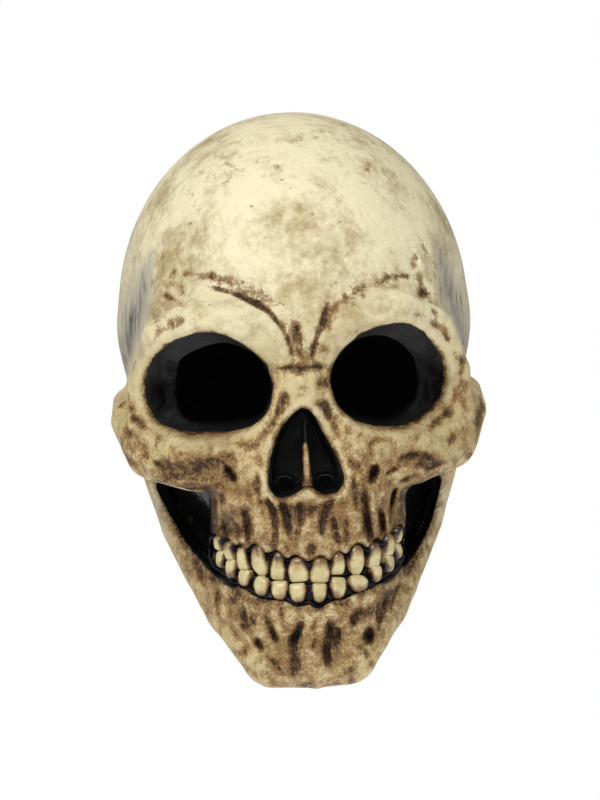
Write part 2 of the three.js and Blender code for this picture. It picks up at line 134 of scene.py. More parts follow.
# ------------------------------------------------------------------------------------------------
# The clay form that the latex is cast from: a cranium with hollow temples, a scowling brow,
# cheekbones, a muzzle and a jaw, all in millimetres. A form is a field, negative inside and about
# the distance outside.
# ------------------------------------------------------------------------------------------------
MM = 0.001
CRANIUM = ((0, 13, 34.5), (84.5, 110, 95))
TEMPLE_HOLLOW = ((92, -40, 26), (21, 30, 40))
NECK_HALF = (58.5, 57)
NECK_CENTRE_Y = 20
NECK_FLARE = 0.2
RIM_Z = -80
ARCH_CENTRE_Y = -65
ARCH_HALF = (43, 42)
CHEEKBONE_HALF_WIDTH = 88


def soft_join(a, b, reach):
    """Both forms, with a fillet of about that reach where they meet."""
    h = np.maximum(reach - np.abs(a - b), 0) / reach
    return np.minimum(a, b) - h * h * reach / 4


def soft_cut(a, b, reach):
    """The form a without the space b, with the new edge rounded over."""
    return -soft_join(-a, b, reach)


def oval(at, centre, radii):
    x, y, z = (a - c for a, c in zip(at, centre))
    rx, ry, rz = radii
    near = np.sqrt((x / rx) ** 2 + (y / ry) ** 2 + (z / rz) ** 2)
    slope = np.sqrt((x / rx**2) ** 2 + (y / ry**2) ** 2 + (z / rz**2) ** 2)
    return near * (near - 1) / np.maximum(slope, 1e-6)


def roll(at, points):
    """A rolled strip of clay through (x, y, z, radius) points."""
    x, y, z = at
    nearest = None
    for (ax, ay, az, ar), (bx, by, bz, br) in zip(points, points[1:]):
        dx, dy, dz = bx - ax, by - ay, bz - az
        along = ((x - ax) * dx + (y - ay) * dy + (z - az) * dz) / (dx * dx + dy * dy + dz * dz)
        t = np.clip(along, 0, 1)
        off = np.sqrt((x - ax - t * dx) ** 2 + (y - ay - t * dy) ** 2 + (z - az - t * dz) ** 2)
        off = off - ar - t * (br - ar)
        nearest = off if nearest is None else np.minimum(nearest, off)
    return nearest


def head_mass(at):
    """The cranium with its hollow temples, down to the neck."""
    x, y, z = at
    side = (np.abs(x), y, z)
    form = oval(side, *CRANIUM)
    form = soft_cut(form, oval(side, *TEMPLE_HOLLOW), 14)
    grow = NECK_FLARE * np.maximum(z - RIM_Z, -20)
    w, l = NECK_HALF[0] + grow, NECK_HALF[1] + grow * 2.2
    neck = (np.sqrt((x / w) ** 2 + ((y - NECK_CENTRE_Y) / l) ** 2) - 1) * np.minimum(w, l)
    return soft_join(form, soft_cut(neck, 30 - z, 20), 16)


def face_mass(at):
    """The head with the plain masses of the face, before the small modelling."""
    x, y, z = at
    side = (np.abs(x), y, z)
    wide = CHEEKBONE_HALF_WIDTH
    form = head_mass(at)
    form = soft_join(form, oval(side, (0, -22, -26), (74, 68, 62)), 14)
    form = soft_join(form, oval(side, (0, -30, -74), (55, 58, 50)), 12)
    jaw = [(0, -85, -120, 17), (16, -83, -121, 15.5), (33, -62, -101, 12), (54, -28, -66, 12),
           (64, -14, -22, 12)]
    form = soft_join(form, roll(side, jaw), 12)
    form = soft_join(form, roll(side, [(0, -84, -112, 14), (22, -76, -107, 14), (35, -58, -94, 12)]), 10)
    arch = np.sqrt((x / ARCH_HALF[0]) ** 2 + ((y - ARCH_CENTRE_Y) / ARCH_HALF[1]) ** 2)
    arch = (arch - 1) * ARCH_HALF[1]
    muzzle = soft_cut(arch + 0.12 * np.maximum(z + 70, 0), -30 - z, 14)
    muzzle = soft_cut(muzzle, z + 109, 8)
    form = soft_join(form, muzzle, 8)
    form = soft_join(form, roll(side, [(11, -90, -8, 9), (25, -88, -50, 12)]), 10)
    form = soft_join(form, roll(side, [(0, -88, 14, 11), (0, -97, -8, 9)]), 8)
    cheekbone = [(24, -86, -32, 11), (50, -76, -34, 12.5), (wide - 20, -58, -29, 13),
                 (wide - 11, -38, -15, 11), (wide - 7.5, -14, -8, 7.5), (wide - 17, 10, -5, 7)]
    form = soft_join(form, roll(side, cheekbone), 8)
    brow = [(0, -92, 20, 11), (22, -93, 27, 10.5), (44, -87, 30, 10.5), (62, -72, 22, 10),
            (wide - 17, -58, 4, 8), (wide - 17, -56, -20, 9)]
    return soft_join(form, roll(side, brow), 8)


# ------------------------------------------------------------------------------------------------
# The fine modelling of the face: drawn on a front view of the clay, in x and z, as strokes and dabs
# that push it in or pull it out. The painter's brown stains, grey smoke and black, and painted shade, are
# drawn the same way.
# ------------------------------------------------------------------------------------------------
SHEET_STEP = 0.6
SHEET_X = np.arange(-96, 96.1, SHEET_STEP)
SHEET_Z = np.arange(-144, 140.1, SHEET_STEP)


def smooth_line(points, closed=False, per_span=8):
    """A Catmull-Rom line through points of any length."""
    p = np.array(points, float)
    count = len(p) if closed else len(p) - 1
    line = []
    for i in range(count):
        if closed:
            a, b, c, d = (p[(i + k) % len(p)] for k in (-1, 0, 1, 2))
        else:
            a, b, c, d = (p[min(max(i + k, 0), len(p) - 1)] for k in (-1, 0, 1, 2))
        for t in np.arange(per_span) / per_span:
            line.append(0.5 * (2 * b + (c - a) * t + (2 * a - 5 * b + 4 * c - d) * t**2
                               + (3 * b - a - 3 * c + d) * t**3))
    if not closed:
        line.append(p[-1])
    return np.array(line)


def window(points, margin):
    """The part of the sheet near some points."""
    low = np.min(points, axis=0) - margin
    high = np.max(points, axis=0) + margin
    i0, i1 = np.searchsorted(SHEET_X, [low[0], high[0]])
    k0, k1 = np.searchsorted(SHEET_Z, [low[1], high[1]])
    return slice(max(i0 - 1, 0), i1 + 1), slice(max(k0 - 1, 0), k1 + 1)


def off_line(x, z, a, b):
    """How far along the line from a to b each point lies, from 0 to 1, and how far off it."""
    run = b - a
    t = np.clip(((x - a[0]) * run[0] + (z - a[1]) * run[1]) / max(run @ run, 1e-9), 0, 1)
    return t, np.hypot(x - a[0] - t * run[0], z - a[1] - t * run[1])


class Sheet:
    """A number at each point of the front view."""

    def __init__(self):
        self.values = np.zeros((len(SHEET_X), len(SHEET_Z)), np.float32)

    def stroke(self, points, width, amount, mirror=False, taper=True):
        """A soft stroke through (x, z) points, thinner at its ends."""
        for sign in (1, -1) if mirror else (1,):
            line = smooth_line([(sign * p[0], p[1]) for p in points])
            part = window(line, 3 * width)
            x, z = np.meshgrid(SHEET_X[part[0]], SHEET_Z[part[1]], indexing="ij")
            mark = np.zeros_like(x)
            for i, (a, b) in enumerate(zip(line, line[1:])):
                t, off = off_line(x, z, a, b)
                share = (i + t) / (len(line) - 1)
                thin = np.sin(np.pi * np.clip(share, 0.04, 0.96)) ** 0.5 if taper else 1
                mark = np.maximum(mark, np.exp(-((off / (width * thin)) ** 2)) * (0.4 + 0.6 * thin))
            self.values[part] += amount * mark
        return self

    def dab(self, centre, radii, amount, mirror=False, turn=0.0):
        """A soft oval patch, turned by an angle."""
        for sign in (1, -1) if mirror else (1,):
            c = np.array((sign * centre[0], centre[1]))
            part = window([c], 2.6 * max(radii))
            x, z = np.meshgrid(SHEET_X[part[0]] - c[0], SHEET_Z[part[1]] - c[1], indexing="ij")
            s, t = math.sin(sign * turn), math.cos(sign * turn)
            off = ((x * t + z * s) / radii[0]) ** 2 + ((z * t - x * s) / radii[1]) ** 2
            self.values[part] += amount * np.exp(-off)
        return self

    def dabs(self, *patches):
        """Soft oval patches, each given as x, z, width, height and amount."""
        for px, pz, wide, tall, amount in patches:
            self.dab((px, pz), (wide, tall), amount)

    def at(self, x, z):
        """The value at any x and z, between the sheet's points."""
        u = np.clip((np.asarray(x) - SHEET_X[0]) / SHEET_STEP, 0, len(SHEET_X) - 1.001)
        v = np.clip((np.asarray(z) - SHEET_Z[0]) / SHEET_STEP, 0, len(SHEET_Z) - 1.001)
        i, k = u.astype(int), v.astype(int)
        u, v = u - i, v - k
        f = self.values
        low = f[i, k] * (1 - u) + f[i + 1, k] * u
        high = f[i, k + 1] * (1 - u) + f[i + 1, k + 1] * u
        return low * (1 - v) + high * v


def outline_distance(points):
    """A sheet of the distance to a closed outline, negative inside it."""
    line = smooth_line(points, closed=True)
    x, z = np.meshgrid(SHEET_X, SHEET_Z, indexing="ij")
    nearest = np.full_like(x, 1e9)
    crossings = np.zeros(x.shape, bool)
    for a, b in zip(line, np.roll(line, -1, axis=0)):
        run = b - a
        nearest = np.minimum(nearest, off_line(x, z, a, b)[1])
        spans = (a[1] > z) != (b[1] > z)
        crossings ^= spans & (x < a[0] + (z - a[1]) * run[0] / (run[1] if run[1] else 1e-9))
    sheet = Sheet()
    sheet.values = np.where(crossings, -nearest, nearest).astype(np.float32)
    return sheet


LEFT_SOCKET = [(14, 3), (17, 12), (26, 21), (37, 25.5), (48, 25.5), (58, 20), (65, 10), (66.5, 0),
               (63, -10), (54, -17.5), (43, -20.5), (31, -18.5), (20, -13), (15, -5)]
RIGHT_SOCKET = [(-13.5, 2), (-18, 12.5), (-28, 21), (-41, 25.2), (-55, 22), (-66, 15), (-71, 2),
                (-69, -9), (-63.5, -16), (-54, -19.5), (-42, -20), (-30, -18.5), (-20, -14.5),
                (-14.5, -6)]
NOSE_HOLE = [(0.5, -9.5), (5.5, -13.5), (11, -24.5), (16, -35), (17.5, -42), (14.5, -47.5), (8, -48.5),
             (1.5, -45), (-6, -48.5), (-12.5, -49), (-16.2, -43), (-15, -33), (-11, -21), (-4.5, -12.5)]
LEFT_HOLLOW = [(48, -51), (56, -47.5), (64, -46), (63.5, -54), (59.5, -65), (53, -76), (45.5, -84.5),
               (43.5, -80), (46.5, -71), (47.5, -62)]
RIGHT_HOLLOW = [(-43, -50), (-48, -46.5), (-58, -45), (-67, -44.5), (-65.5, -52), (-60, -62),
                (-53, -73), (-44.5, -82), (-39.5, -85), (-41, -78), (-43, -66)]
GUM_EDGE = [(-44, -68.5), (-41.5, -66.9), (-37.4, -69.2), (-35.5, -67.6), (-31.7, -71), (-29.3, -69.8),
            (-26.9, -72.6), (-23.4, -69.5), (-18.2, -73.6), (-13.2, -72.5), (-9.3, -76.2),
            (-5.2, -74.6), (0.3, -78), (6, -75.4), (10, -78.2), (13.6, -74.2), (17.7, -75.4),
            (22.6, -70.8), (27.7, -74), (31.4, -70.3), (35.1, -72), (40.8, -67.3), (45.3, -67)]
LIP_EDGE = [(45.6, -80), (41.6, -85.4), (35.9, -87.6), (31, -90.3), (25.7, -92.2), (19.9, -93.5),
            (16.6, -95.1), (10.3, -95.9), (4.2, -98.8), (-0.4, -96.9), (-5.4, -97.8), (-10.3, -95.1),
            (-16.5, -94.5), (-22.6, -93.3), (-28.1, -89.7), (-34.3, -87.6), (-39.3, -83.8),
            (-44.2, -79)]
MOUTH = GUM_EDGE + LIP_EDGE

left_socket = outline_distance(LEFT_SOCKET)
right_socket = outline_distance(RIGHT_SOCKET)
nose_hole = outline_distance(NOSE_HOLE)
left_hollow = outline_distance(LEFT_HOLLOW)
right_hollow = outline_distance(RIGHT_HOLLOW)
mouth = outline_distance(MOUTH)

relief = Sheet()
# the scowl: a thick fold over each socket that ends in a lobe beside the root of the nose, and creases
relief.stroke([(-64, 36), (-48, 37), (-34, 34.5), (-22, 27), (-14, 19)], 7, 2.6)
relief.stroke([(64, 34), (48, 36), (34, 33), (22, 26), (14.5, 19)], 7, 2.3)
relief.dab((-9.5, 13.5), (4.2, 5.5), 1.2, turn=0.5).dab((10.5, 14), (4, 6), 1.0, turn=-0.5)
BROW_CREASES = (
    ([(-41, 46), (-32.9, 43.8), (-24.1, 39.9), (-14.1, 34.1), (-6.9, 24.6), (-3.8, 14.7), (-5, 8.5)],
     0.9, 1.4),
    ([(-20, 38.6), (-14, 34.4), (-10, 29)], 0.8, 0.8),
    ([(13, 37), (10.7, 28.9), (5.8, 16.6), (6, 9.5)], 0.8, 1.1),
    ([(-2, 31), (-1, 22), (0.5, 13)], 0.8, 0.8),
    ([(-13, 7), (-6, 8.6), (0, 7.4), (7, 8.6), (13, 7)], 0.9, 1.2),
    ([(58, 47), (46, 47.5), (36, 45)], 1.3, 0.6),
    ([(-60, 43), (-54, 39), (-50, 36)], 1.0, 0.8),
)
for points, width, depth in BROW_CREASES:
    relief.stroke(points, width, -depth)
relief.stroke([(-50, 52), (-32, 48), (-14, 39), (-4, 27), (0, 14)], 4.5, -1.1)
relief.stroke([(30, 44), (17, 36), (7, 22)], 4.5, -0.9)
# the edge of each temple
relief.stroke([(-57, 62), (-62, 48), (-67, 33), (-71, 23)], 3.4, 1.6)
relief.stroke([(55, 62), (62, 45), (66, 32), (71, 22)], 3.4, 1.6)
# the raised rims of the sockets
for socket in (left_socket, right_socket):
    relief.values += 1.3 * np.exp(-(((socket.values - 3.0) / 2.3) ** 2))
relief.values += 1.0 * np.exp(-(((nose_hole.values - 2.2) / 1.8) ** 2))
# cheekbones: a swelling, cracks along it and a hard lower edge over the hollow
relief.stroke([(-34, -27), (-50, -26), (-66, -23), (-78, -16)], 5, 1.7)
relief.stroke([(34, -28), (50, -27.5), (64, -24), (78, -17)], 5, 1.6)
relief.stroke([(-67, -33), (-58, -36), (-48, -35.5), (-38, -32.5)], 2.6, -2.4).dab((-50, -38), (9, 3), -0.8)
relief.stroke([(-66, -41), (-54, -43.5), (-44, -42.5), (-38, -46)], 2.2, 1.5)
relief.stroke([(42.9, -34.6), (48, -33.2), (54, -33.2), (58, -35)], 1.1, -1.9)
relief.stroke([(36.5, -41), (40.4, -39.5), (43, -38)], 1.0, -1.7)
relief.stroke([(43, -45.2), (47, -43.7), (51.5, -42.3)], 0.9, -1.6)
relief.stroke([(54, -39.5), (60, -38.5), (66, -37)], 1.0, -1.5).stroke([(50, -37.5), (56, -38)], 0.9, -1.1)
relief.stroke([(48, -47), (56, -45.4), (64, -43)], 2.0, 1.2)
# pits where the nerves come out
for points, width, depth in (
    ([(-34.6, -35.4), (-32.9, -37.6), (-31, -41.6)], 1.5, 3.8),
    ([(32.2, -37), (30.8, -40.5), (29.6, -44.3)], 1.8, 3.6),
    ([(-24, -112.5), (-23, -115), (-22, -118)], 1.3, 2.6),
    ([(27, -110), (26.6, -113), (27, -116)], 2.0, 2.8),
):
    relief.stroke(points, width * 1.9, -0.3).stroke(points, width, -depth)
# grooves between the roots of the upper teeth
UPPER_GROOVES = (
    ([(-17, -49), (-14.2, -56), (-13.6, -63), (-14.4, -72)], 1.3, 2.6),
    ([(-10.9, -51.6), (-8.6, -57), (-7.4, -67)], 1.7, 3.0),
    ([(-2.9, -51.6), (-2.8, -58), (-3.6, -66)], 1.0, 2.4),
    ([(12.8, -51), (9, -54.5), (7.2, -60), (6.6, -66)], 1.7, 2.6),
    ([(11.8, -58.5), (12.9, -64.8), (14.2, -71)], 1.1, 2.6),
    ([(26.7, -47.5), (27.1, -56), (28.6, -69.4)], 1.6, 3.8),
    ([(32.8, -56), (34.2, -61), (34.9, -67)], 1.2, 2.6),
    ([(42, -48.5), (39.4, -54.5), (38, -64)], 1.2, 2.4),
    ([(-37.6, -56.5), (-36.4, -61.8), (-36, -67)], 0.9, 2.0),
    ([(-27.4, -54), (-26, -61), (-26.2, -69.5)], 1.1, 2.2),
    ([(-31.5, -60), (-30.4, -64), (-30.4, -68)], 0.9, 1.5),
    ([(22.4, -39), (22.2, -47), (22.9, -57)], 0.9, 1.5),
    ([(-20.4, -38), (-20.8, -46), (-19.6, -52)], 0.9, 1.3),
    ([(-4.8, -63), (-4.4, -67), (-5, -71)], 0.8, 1.3),
    ([(17.8, -60), (17.6, -66), (18, -71)], 0.9, 1.2),
)
for points, width, depth in UPPER_GROOVES:
    relief.stroke(points, width, -depth)
# the swellings over those roots
relief.dabs(
    (-21.5, -63, 3.4, 9, 1.1), (-13, -67, 2.4, 9, 1.1), (-4.6, -68, 2.8, 9, 1.1), (5.4, -69, 2.6, 9, 1.1),
    (13.6, -68, 2.4, 9, 1.1), (22, -62, 3.6, 9, 1.1), (31.2, -62, 2.4, 9, 1.1), (-30.2, -62, 2.4, 9, 1.1),
    (37.6, -62, 2, 9, 1.1),
)
# gouges down the chin and the jaw
JAW_GOUGES = (
    ([(-3.4, -105.5), (-5.6, -110), (-6.8, -116), (-6.6, -124), (-8, -129)], 1.8, 2.8),
    ([(8.4, -105), (8.8, -111), (7.4, -117), (7.6, -125)], 2.0, 3.0),
    ([(12.5, -108), (12, -113), (11, -118)], 1.2, 1.4),
    ([(-19.6, -98), (-18.4, -104), (-16.4, -109.5), (-14.8, -114)], 1.2, 1.8),
    ([(-30.5, -96.5), (-28.8, -102), (-29.6, -108)], 1.4, 1.9),
    ([(-12.2, -98.5), (-11.6, -103.5)], 1.0, 1.2),
    ([(23.4, -100), (20, -103.5), (19.8, -107)], 1.7, 1.9),
    ([(36.8, -95), (34.4, -101), (32.4, -106)], 1.3, 2.0),
    ([(32.8, -100.5), (31.4, -106), (31, -111)], 1.0, 1.5),
    ([(41.5, -92), (38.6, -98), (37.6, -103)], 1.0, 1.3),
    ([(1.2, -106), (1.8, -112), (0.6, -119)], 1.0, 0.9),
    ([(-25.5, -100), (-24.6, -106)], 0.9, 1.1),
    ([(-20, -120), (-15.5, -124), (-12.5, -129)], 1.1, 1.1),
    ([(20.5, -117), (24.5, -119.5), (25.5, -124)], 1.1, 1.0),
    ([(-40, -91), (-41.5, -97), (-40, -103)], 1.0, 1.1),
    ([(-51, -72), (-50, -82), (-46, -91)], 1.2, 1.3),
    ([(52, -70), (50.4, -80), (46.5, -89)], 1.2, 1.3),
)
for points, width, depth in JAW_GOUGES:
    relief.stroke(points, width, -depth)
relief.dabs(
    (1, -121, 6, 12, 1.2), (-20, -108, 5, 8, 0.8), (19, -111, 6, 5, 0.8), (18, -122, 7, 5, 0.9),
)
under_lip = [(-40, -90), (-26, -97.5), (-13, -101), (0, -102.6), (13, -101), (26, -97), (40, -90)]
relief.stroke(under_lip, 2.4, 1.5)
# bridge and spine of the nose
relief.stroke([(-6, 6), (-5, 1), (-4, -7)], 2.2, 0.9).stroke([(6.5, 6), (5.5, 1), (4.5, -7)], 2.2, 0.9)
relief.stroke([(-11, 3), (-10, -8), (-14, -20)], 2.0, -1.3)
relief.stroke([(11.5, 3), (10.5, -8), (15, -20)], 2.0, -1.3)
relief.dab((1, -50.8), (3.2, 2.2), 2.4)

# small lumps and pits, made from seeded noise that is blurred over a few distances
chance = np.random.default_rng(11)
PIT_COUNT = 60


def blurred(values, reach):
    """A soft blur of a sheet or a lattice, as three passes of a moving mean along each axis."""
    out = values.astype(np.float32)
    for axis in range(out.ndim):
        for _ in range(3):
            pad = [(0, 0)] * out.ndim
            pad[axis] = (reach + 1, reach)
            total = np.cumsum(np.pad(out, pad, mode="edge"), axis=axis, dtype=np.float64)
            n = out.shape[axis]
            far = np.take(total, range(2 * reach + 1, 2 * reach + 1 + n), axis=axis)
            near = np.take(total, range(n), axis=axis)
            out = ((far - near) / (2 * reach + 1)).astype(np.float32)
    return out


def lumps(reach):
    grain = blurred(chance.standard_normal(relief.values.shape), reach)
    return grain / grain.std()


x, z = np.meshgrid(SHEET_X, SHEET_Z, indexing="ij")
face_zone = 1 / (1 + np.exp((z - 34 - 0.12 * np.abs(x)) / 7))
fine = (0.05 + 0.22 * face_zone) * lumps(2) + (0.06 + 0.24 * face_zone) * lumps(4)
relief.values += fine + 0.16 * lumps(9)
for _ in range(PIT_COUNT):
    px, pz = chance.uniform(-70, 70), chance.uniform(30, 125)
    relief.dab((px, pz), (chance.uniform(0.5, 1.1),) * 2, -chance.uniform(0.3, 1.0))

# ------------------------------------------------------------------------------------------------
# The face casting: natural latex three millimetres thick, open at the eyes, the nose, the cheeks and
# the mouth, and trimmed off flat round the neck and under the jaw.
# ------------------------------------------------------------------------------------------------
WALL = 3.0
PARTING_Y = 22.0
SEAM = 0.1  # half of the fine gap at the glued joint
EASED = 1.2  # how far the edges of a cut are rounded over
RIM_FRONT_Y = -14.0
CHIN_FLOOR = (-64.0, -134.0)
NOSE_FLOOR_Y = -84.0


def largest_body(points, quads):
    """The points and faces of the largest connected body, without the crumbs that a cut leaves."""
    label = np.arange(len(points))
    edges = np.concatenate([quads[:, [0, 1]], quads[:, [1, 2]], quads[:, [2, 3]]]).astype(np.int64)
    while True:
        a, b = label[edges[:, 0]], label[edges[:, 1]]
        lowest = np.minimum(a, b)
        joined = label.copy()
        np.minimum.at(joined, a, lowest)
        np.minimum.at(joined, b, lowest)
        joined = joined[joined]
        if np.array_equal(joined, label):
            break
        label = joined
    keep = label == np.bincount(label).argmax()
    place = np.cumsum(keep) - 1
    return points[keep], place[quads[keep[quads[:, 0]]]]


def drop_slivers(mesh):
    """Merge points that fell together in the thinning, and keep only the faces of the one closed skin."""
    shell = bmesh.new()
    shell.from_mesh(mesh)
    bmesh.ops.remove_doubles(shell, verts=shell.verts, dist=2e-6)
    shell.faces.ensure_lookup_table()
    reached, waiting = {shell.faces[0]}, [shell.faces[0]]
    while waiting:
        for edge in waiting.pop().edges:
            if len(edge.link_faces) == 2:
                for neighbour in edge.link_faces:
                    if neighbour not in reached:
                        reached.add(neighbour)
                        waiting.append(neighbour)
    bmesh.ops.delete(shell, geom=[f for f in shell.faces if f not in reached], context="FACES")
    shell.to_mesh(mesh)
    shell.free()


class Lattice:
    """Points a pitch apart in a block, with a field over them."""

    def __init__(self, low, high, pitch):
        self.low, self.pitch = np.array(low, float), pitch
        axes = [np.arange(a, b + pitch, pitch, dtype=np.float32) for a, b in zip(low, high)]
        self.at = tuple(np.ix_(*axes))

    def sample(self, field, points):
        """The field at any points, between the lattice's own."""
        g = (points - self.low) / self.pitch
        g = np.clip(g, 0, np.array(field.shape) - 1.001)
        i = g.astype(int)
        f = g - i
        total = 0
        for a in (0, 1):
            for b in (0, 1):
                for c in (0, 1):
                    share = (f[:, 0] if a else 1 - f[:, 0]) * (f[:, 1] if b else 1 - f[:, 1])
                    share = share * (f[:, 2] if c else 1 - f[:, 2])
                    total = total + share * field[i[:, 0] + a, i[:, 1] + b, i[:, 2] + c]
        return total

    def skin_over(self, name, field, most=None):
        """A closed mesh where the field is zero, thinned to at most so many triangles."""
        grid = openvdb.FloatGrid(3 * self.pitch)
        grid.copyFromArray(np.clip(field, -3 * self.pitch, 3 * self.pitch).astype(np.float32))
        points, _, quads = grid.convertToPolygons(0.0)
        points, quads = largest_body(points, quads)
        mesh = bpy.data.meshes.new(name)
        mesh.vertices.add(len(points))
        mesh.vertices.foreach_set("co", ((points * self.pitch + self.low) * MM).astype(np.float32).ravel())
        mesh.loops.add(4 * len(quads))
        mesh.loops.foreach_set("vertex_index", quads.astype(np.int32).ravel())
        mesh.polygons.add(len(quads))
        mesh.polygons.foreach_set("loop_start", np.arange(0, 4 * len(quads), 4, dtype=np.int32))
        mesh.update(calc_edges=True)
        mesh.validate()
        piece = bpy.data.objects.new(name, mesh)
        scene.collection.objects.link(piece)
        if most and 2 * len(quads) > most:
            thin = piece.modifiers.new("thin", "DECIMATE")
            thin.ratio = most / (2 * len(quads))
            ready = piece.evaluated_get(bpy.context.evaluated_depsgraph_get())
            piece.data = bpy.data.meshes.new_from_object(ready)
            piece.modifiers.clear()
            drop_slivers(piece.data)
        piece.data.shade_smooth()
        return piece


def places(piece):
    """The piece's points, in millimetres."""
    flat = np.empty(3 * len(piece.data.vertices), np.float32)
    piece.data.vertices.foreach_get("co", flat)
    return flat.reshape(-1, 3) / MM


def give(piece, name, values):
    """Store a number at each point of the piece for its material to read."""
    layer = piece.data.attributes.new(name, "FLOAT", "POINT")
    layer.data.foreach_set("value", np.clip(values, 0, 1).astype(np.float32))


def step(values, low, high):
    t = np.clip((values - low) / (high - low), 0, 1)
    return t * t * (3 - 2 * t)


def below_rim(at):
    """Negative in the space that is trimmed away round the neck and under the jaw."""
    y, z = at[1:]
    slope = (RIM_Z - CHIN_FLOOR[1]) / (RIM_FRONT_Y - CHIN_FLOOR[0])
    edge = RIM_Z + np.minimum(0, (y - RIM_FRONT_Y) * slope)
    return np.maximum(CHIN_FLOOR[0] - y, (z - edge) * 0.8)


def socket_cone(at, socket, sign):
    """The space of an eye socket, which narrows and turns towards the nose as it goes in."""
    x, y, z = at
    depth = np.maximum(y + 88, 0)
    return socket.at(x + sign * 0.3 * depth, z + 0.02 * depth) + 0.2 * depth


def face_holes(at):
    """The sockets, the nose pocket, the cheek hollows and the mouth, all cut from the front."""
    x, y, z = at
    sockets = np.minimum(socket_cone(at, left_socket, 1), socket_cone(at, right_socket, -1))
    sockets = np.maximum(sockets, y + 40)
    nose = np.maximum(nose_hole.at(x, z) + 0.16 * np.maximum(y + 100, 0), y - NOSE_FLOOR_Y)
    nostril = np.hypot((np.abs(x - 0.6) - 9.2) / 1.15, z + 44.5) - 3.4
    nose = soft_join(nose, np.maximum(nostril, y + 60), 2)
    cheeks = np.minimum(left_hollow.at(x, z), right_hollow.at(x, z))
    cheeks = np.maximum(cheeks, np.maximum(y + 8, -y - 96))
    lips = np.maximum(mouth.at(x, z), y - ARCH_CENTRE_Y)
    return sockets, nose, cheeks, lips


def walls_inside(at):
    """The tubes behind the sockets and the box behind the nose pocket."""
    x, y, z = at
    tubes = np.minimum(socket_cone(at, left_socket, 1), socket_cone(at, right_socket, -1)) - WALL
    tubes = np.maximum(tubes, y + 64)
    box = np.maximum(nose_hole.at(x, z) - WALL, y - NOSE_FLOOR_Y - WALL)
    return np.minimum(tubes, box)


face_lattice = Lattice((-93, -112, -142), (93, PARTING_Y + 4, 136), 1.0)
x, y, z = face_lattice.at
face_form = face_mass(face_lattice.at)
facing = np.maximum(-np.gradient(face_form, face_lattice.pitch, axis=1), 0)
front = (1 - step(y, -34, -6)) * (0.15 + 0.85 * step(facing, 0.1, 0.4))
carved = face_form - front * relief.at(x, z)
sockets, nose, cheeks, lips = face_holes(face_lattice.at)
cheeks = np.maximum(cheeks, (0.22 - facing) * 24)
for hole, edge in ((sockets, 3.5), (nose, 2.2), (cheeks, 3.0), (lips, 1.4)):
    carved = soft_cut(carved, hole, edge)
lining = face_form - 0.8 * front * np.minimum(relief.at(x, z), 0)
hollow = np.maximum(lining + WALL, -walls_inside(face_lattice.at))
cast = np.maximum(carved, -hollow)
cast = soft_cut(cast, PARTING_Y - SEAM - y, EASED)
cast = soft_cut(cast, below_rim(face_lattice.at), EASED)
face = face_lattice.skin_over("face_casting", cast, most=194000)


class Value:
    """A number in a material, which ordinary arithmetic turns into Math nodes."""

    def __init__(self, finish, socket):
        self.finish, self.socket = finish, socket

    def math(self, operation, *others):
        chain = [self] + list(others)
        node = self.finish.node("Math", {"operation": operation}, dict(enumerate(chain)))
        return Value(self.finish, node.outputs[0])

    def __add__(self, other):
        return self.math("ADD", other)

    def __sub__(self, other):
        return self.math("SUBTRACT", other)

    def __mul__(self, other):
        return self.math("MULTIPLY", other)

    def __rsub__(self, other):
        node = self.finish.node("Math", {"operation": "SUBTRACT"}, {0: other, 1: self})
        return Value(self.finish, node.outputs[0])

    __radd__ = __add__
    __rmul__ = __mul__

    def ramp(self, low, high, bottom=0.0, top=1.0):
        """Smoothly from bottom to top as the value goes from low to high."""
        inputs = {"Value": self, "From Min": low, "From Max": high, "To Min": bottom, "To Max": top}
        node = self.finish.node("MapRange", {"interpolation_type": "SMOOTHSTEP"}, inputs)
        return Value(self.finish, node.outputs["Result"])


class Finish:
    """A material that is built node by node."""

    def __init__(self, name, **constants):
        self.material = bpy.data.materials.new(name)
        self.material.use_nodes = True
        self.tree = self.material.node_tree
        self.shader = self.tree.nodes["Principled BSDF"]
        for socket, value in constants.items():
            self.shader.inputs[socket.replace("_", " ")].default_value = value
        self.place = self.node("TexCoord").outputs["Object"]

    def node(self, kind, settings=None, inputs=None):
        node = self.tree.nodes.new("ShaderNode" + kind)
        for key, value in (settings or {}).items():
            setattr(node, key, value)
        for key, value in (inputs or {}).items():
            self.feed(node.inputs[key], value)
        return node

    def feed(self, socket, value):
        if isinstance(value, Value):
            self.tree.links.new(value.socket, socket)
        elif isinstance(value, bpy.types.NodeSocket):
            self.tree.links.new(value, socket)
        else:
            socket.default_value = value

    def stored(self, name):
        return Value(self, self.node("Attribute", {"attribute_name": name}).outputs["Fac"])

    def noise(self, scale, detail=4.0, roughness=0.55, stretch=(1, 1, 1), distortion=0.0):
        place = self.node("Mapping", inputs={"Vector": self.place, "Scale": stretch}).outputs[0]
        node = self.node("TexNoise", inputs={"Vector": place, "Scale": scale, "Detail": detail,
                                             "Roughness": roughness, "Distortion": distortion})
        return Value(self, node.outputs["Fac"])

    def spots(self, scale):
        node = self.node("TexVoronoi", inputs={"Vector": self.place, "Scale": scale})
        return Value(self, node.outputs["Distance"])

    def blend(self, share, bottom, top):
        node = self.node("Mix", {"data_type": "RGBA"})
        self.feed(node.inputs["Factor"], share)
        self.feed(node.inputs[6], bottom)
        self.feed(node.inputs[7], top)
        return node.outputs[2]

    def cover(self, **inputs):
        """Feed the shader and hand back the finished material."""
        for key, value in inputs.items():
            self.feed(self.shader.inputs[key.replace("_", " ")], value)
        return self.material

    def bump(self, height, distance, strength=1.0, below=None):
        inputs = {"Height": height, "Distance": distance, "Strength": strength}
        if below is not None:
            inputs["Normal"] = below
        return self.node("Bump", inputs=inputs).outputs[0]


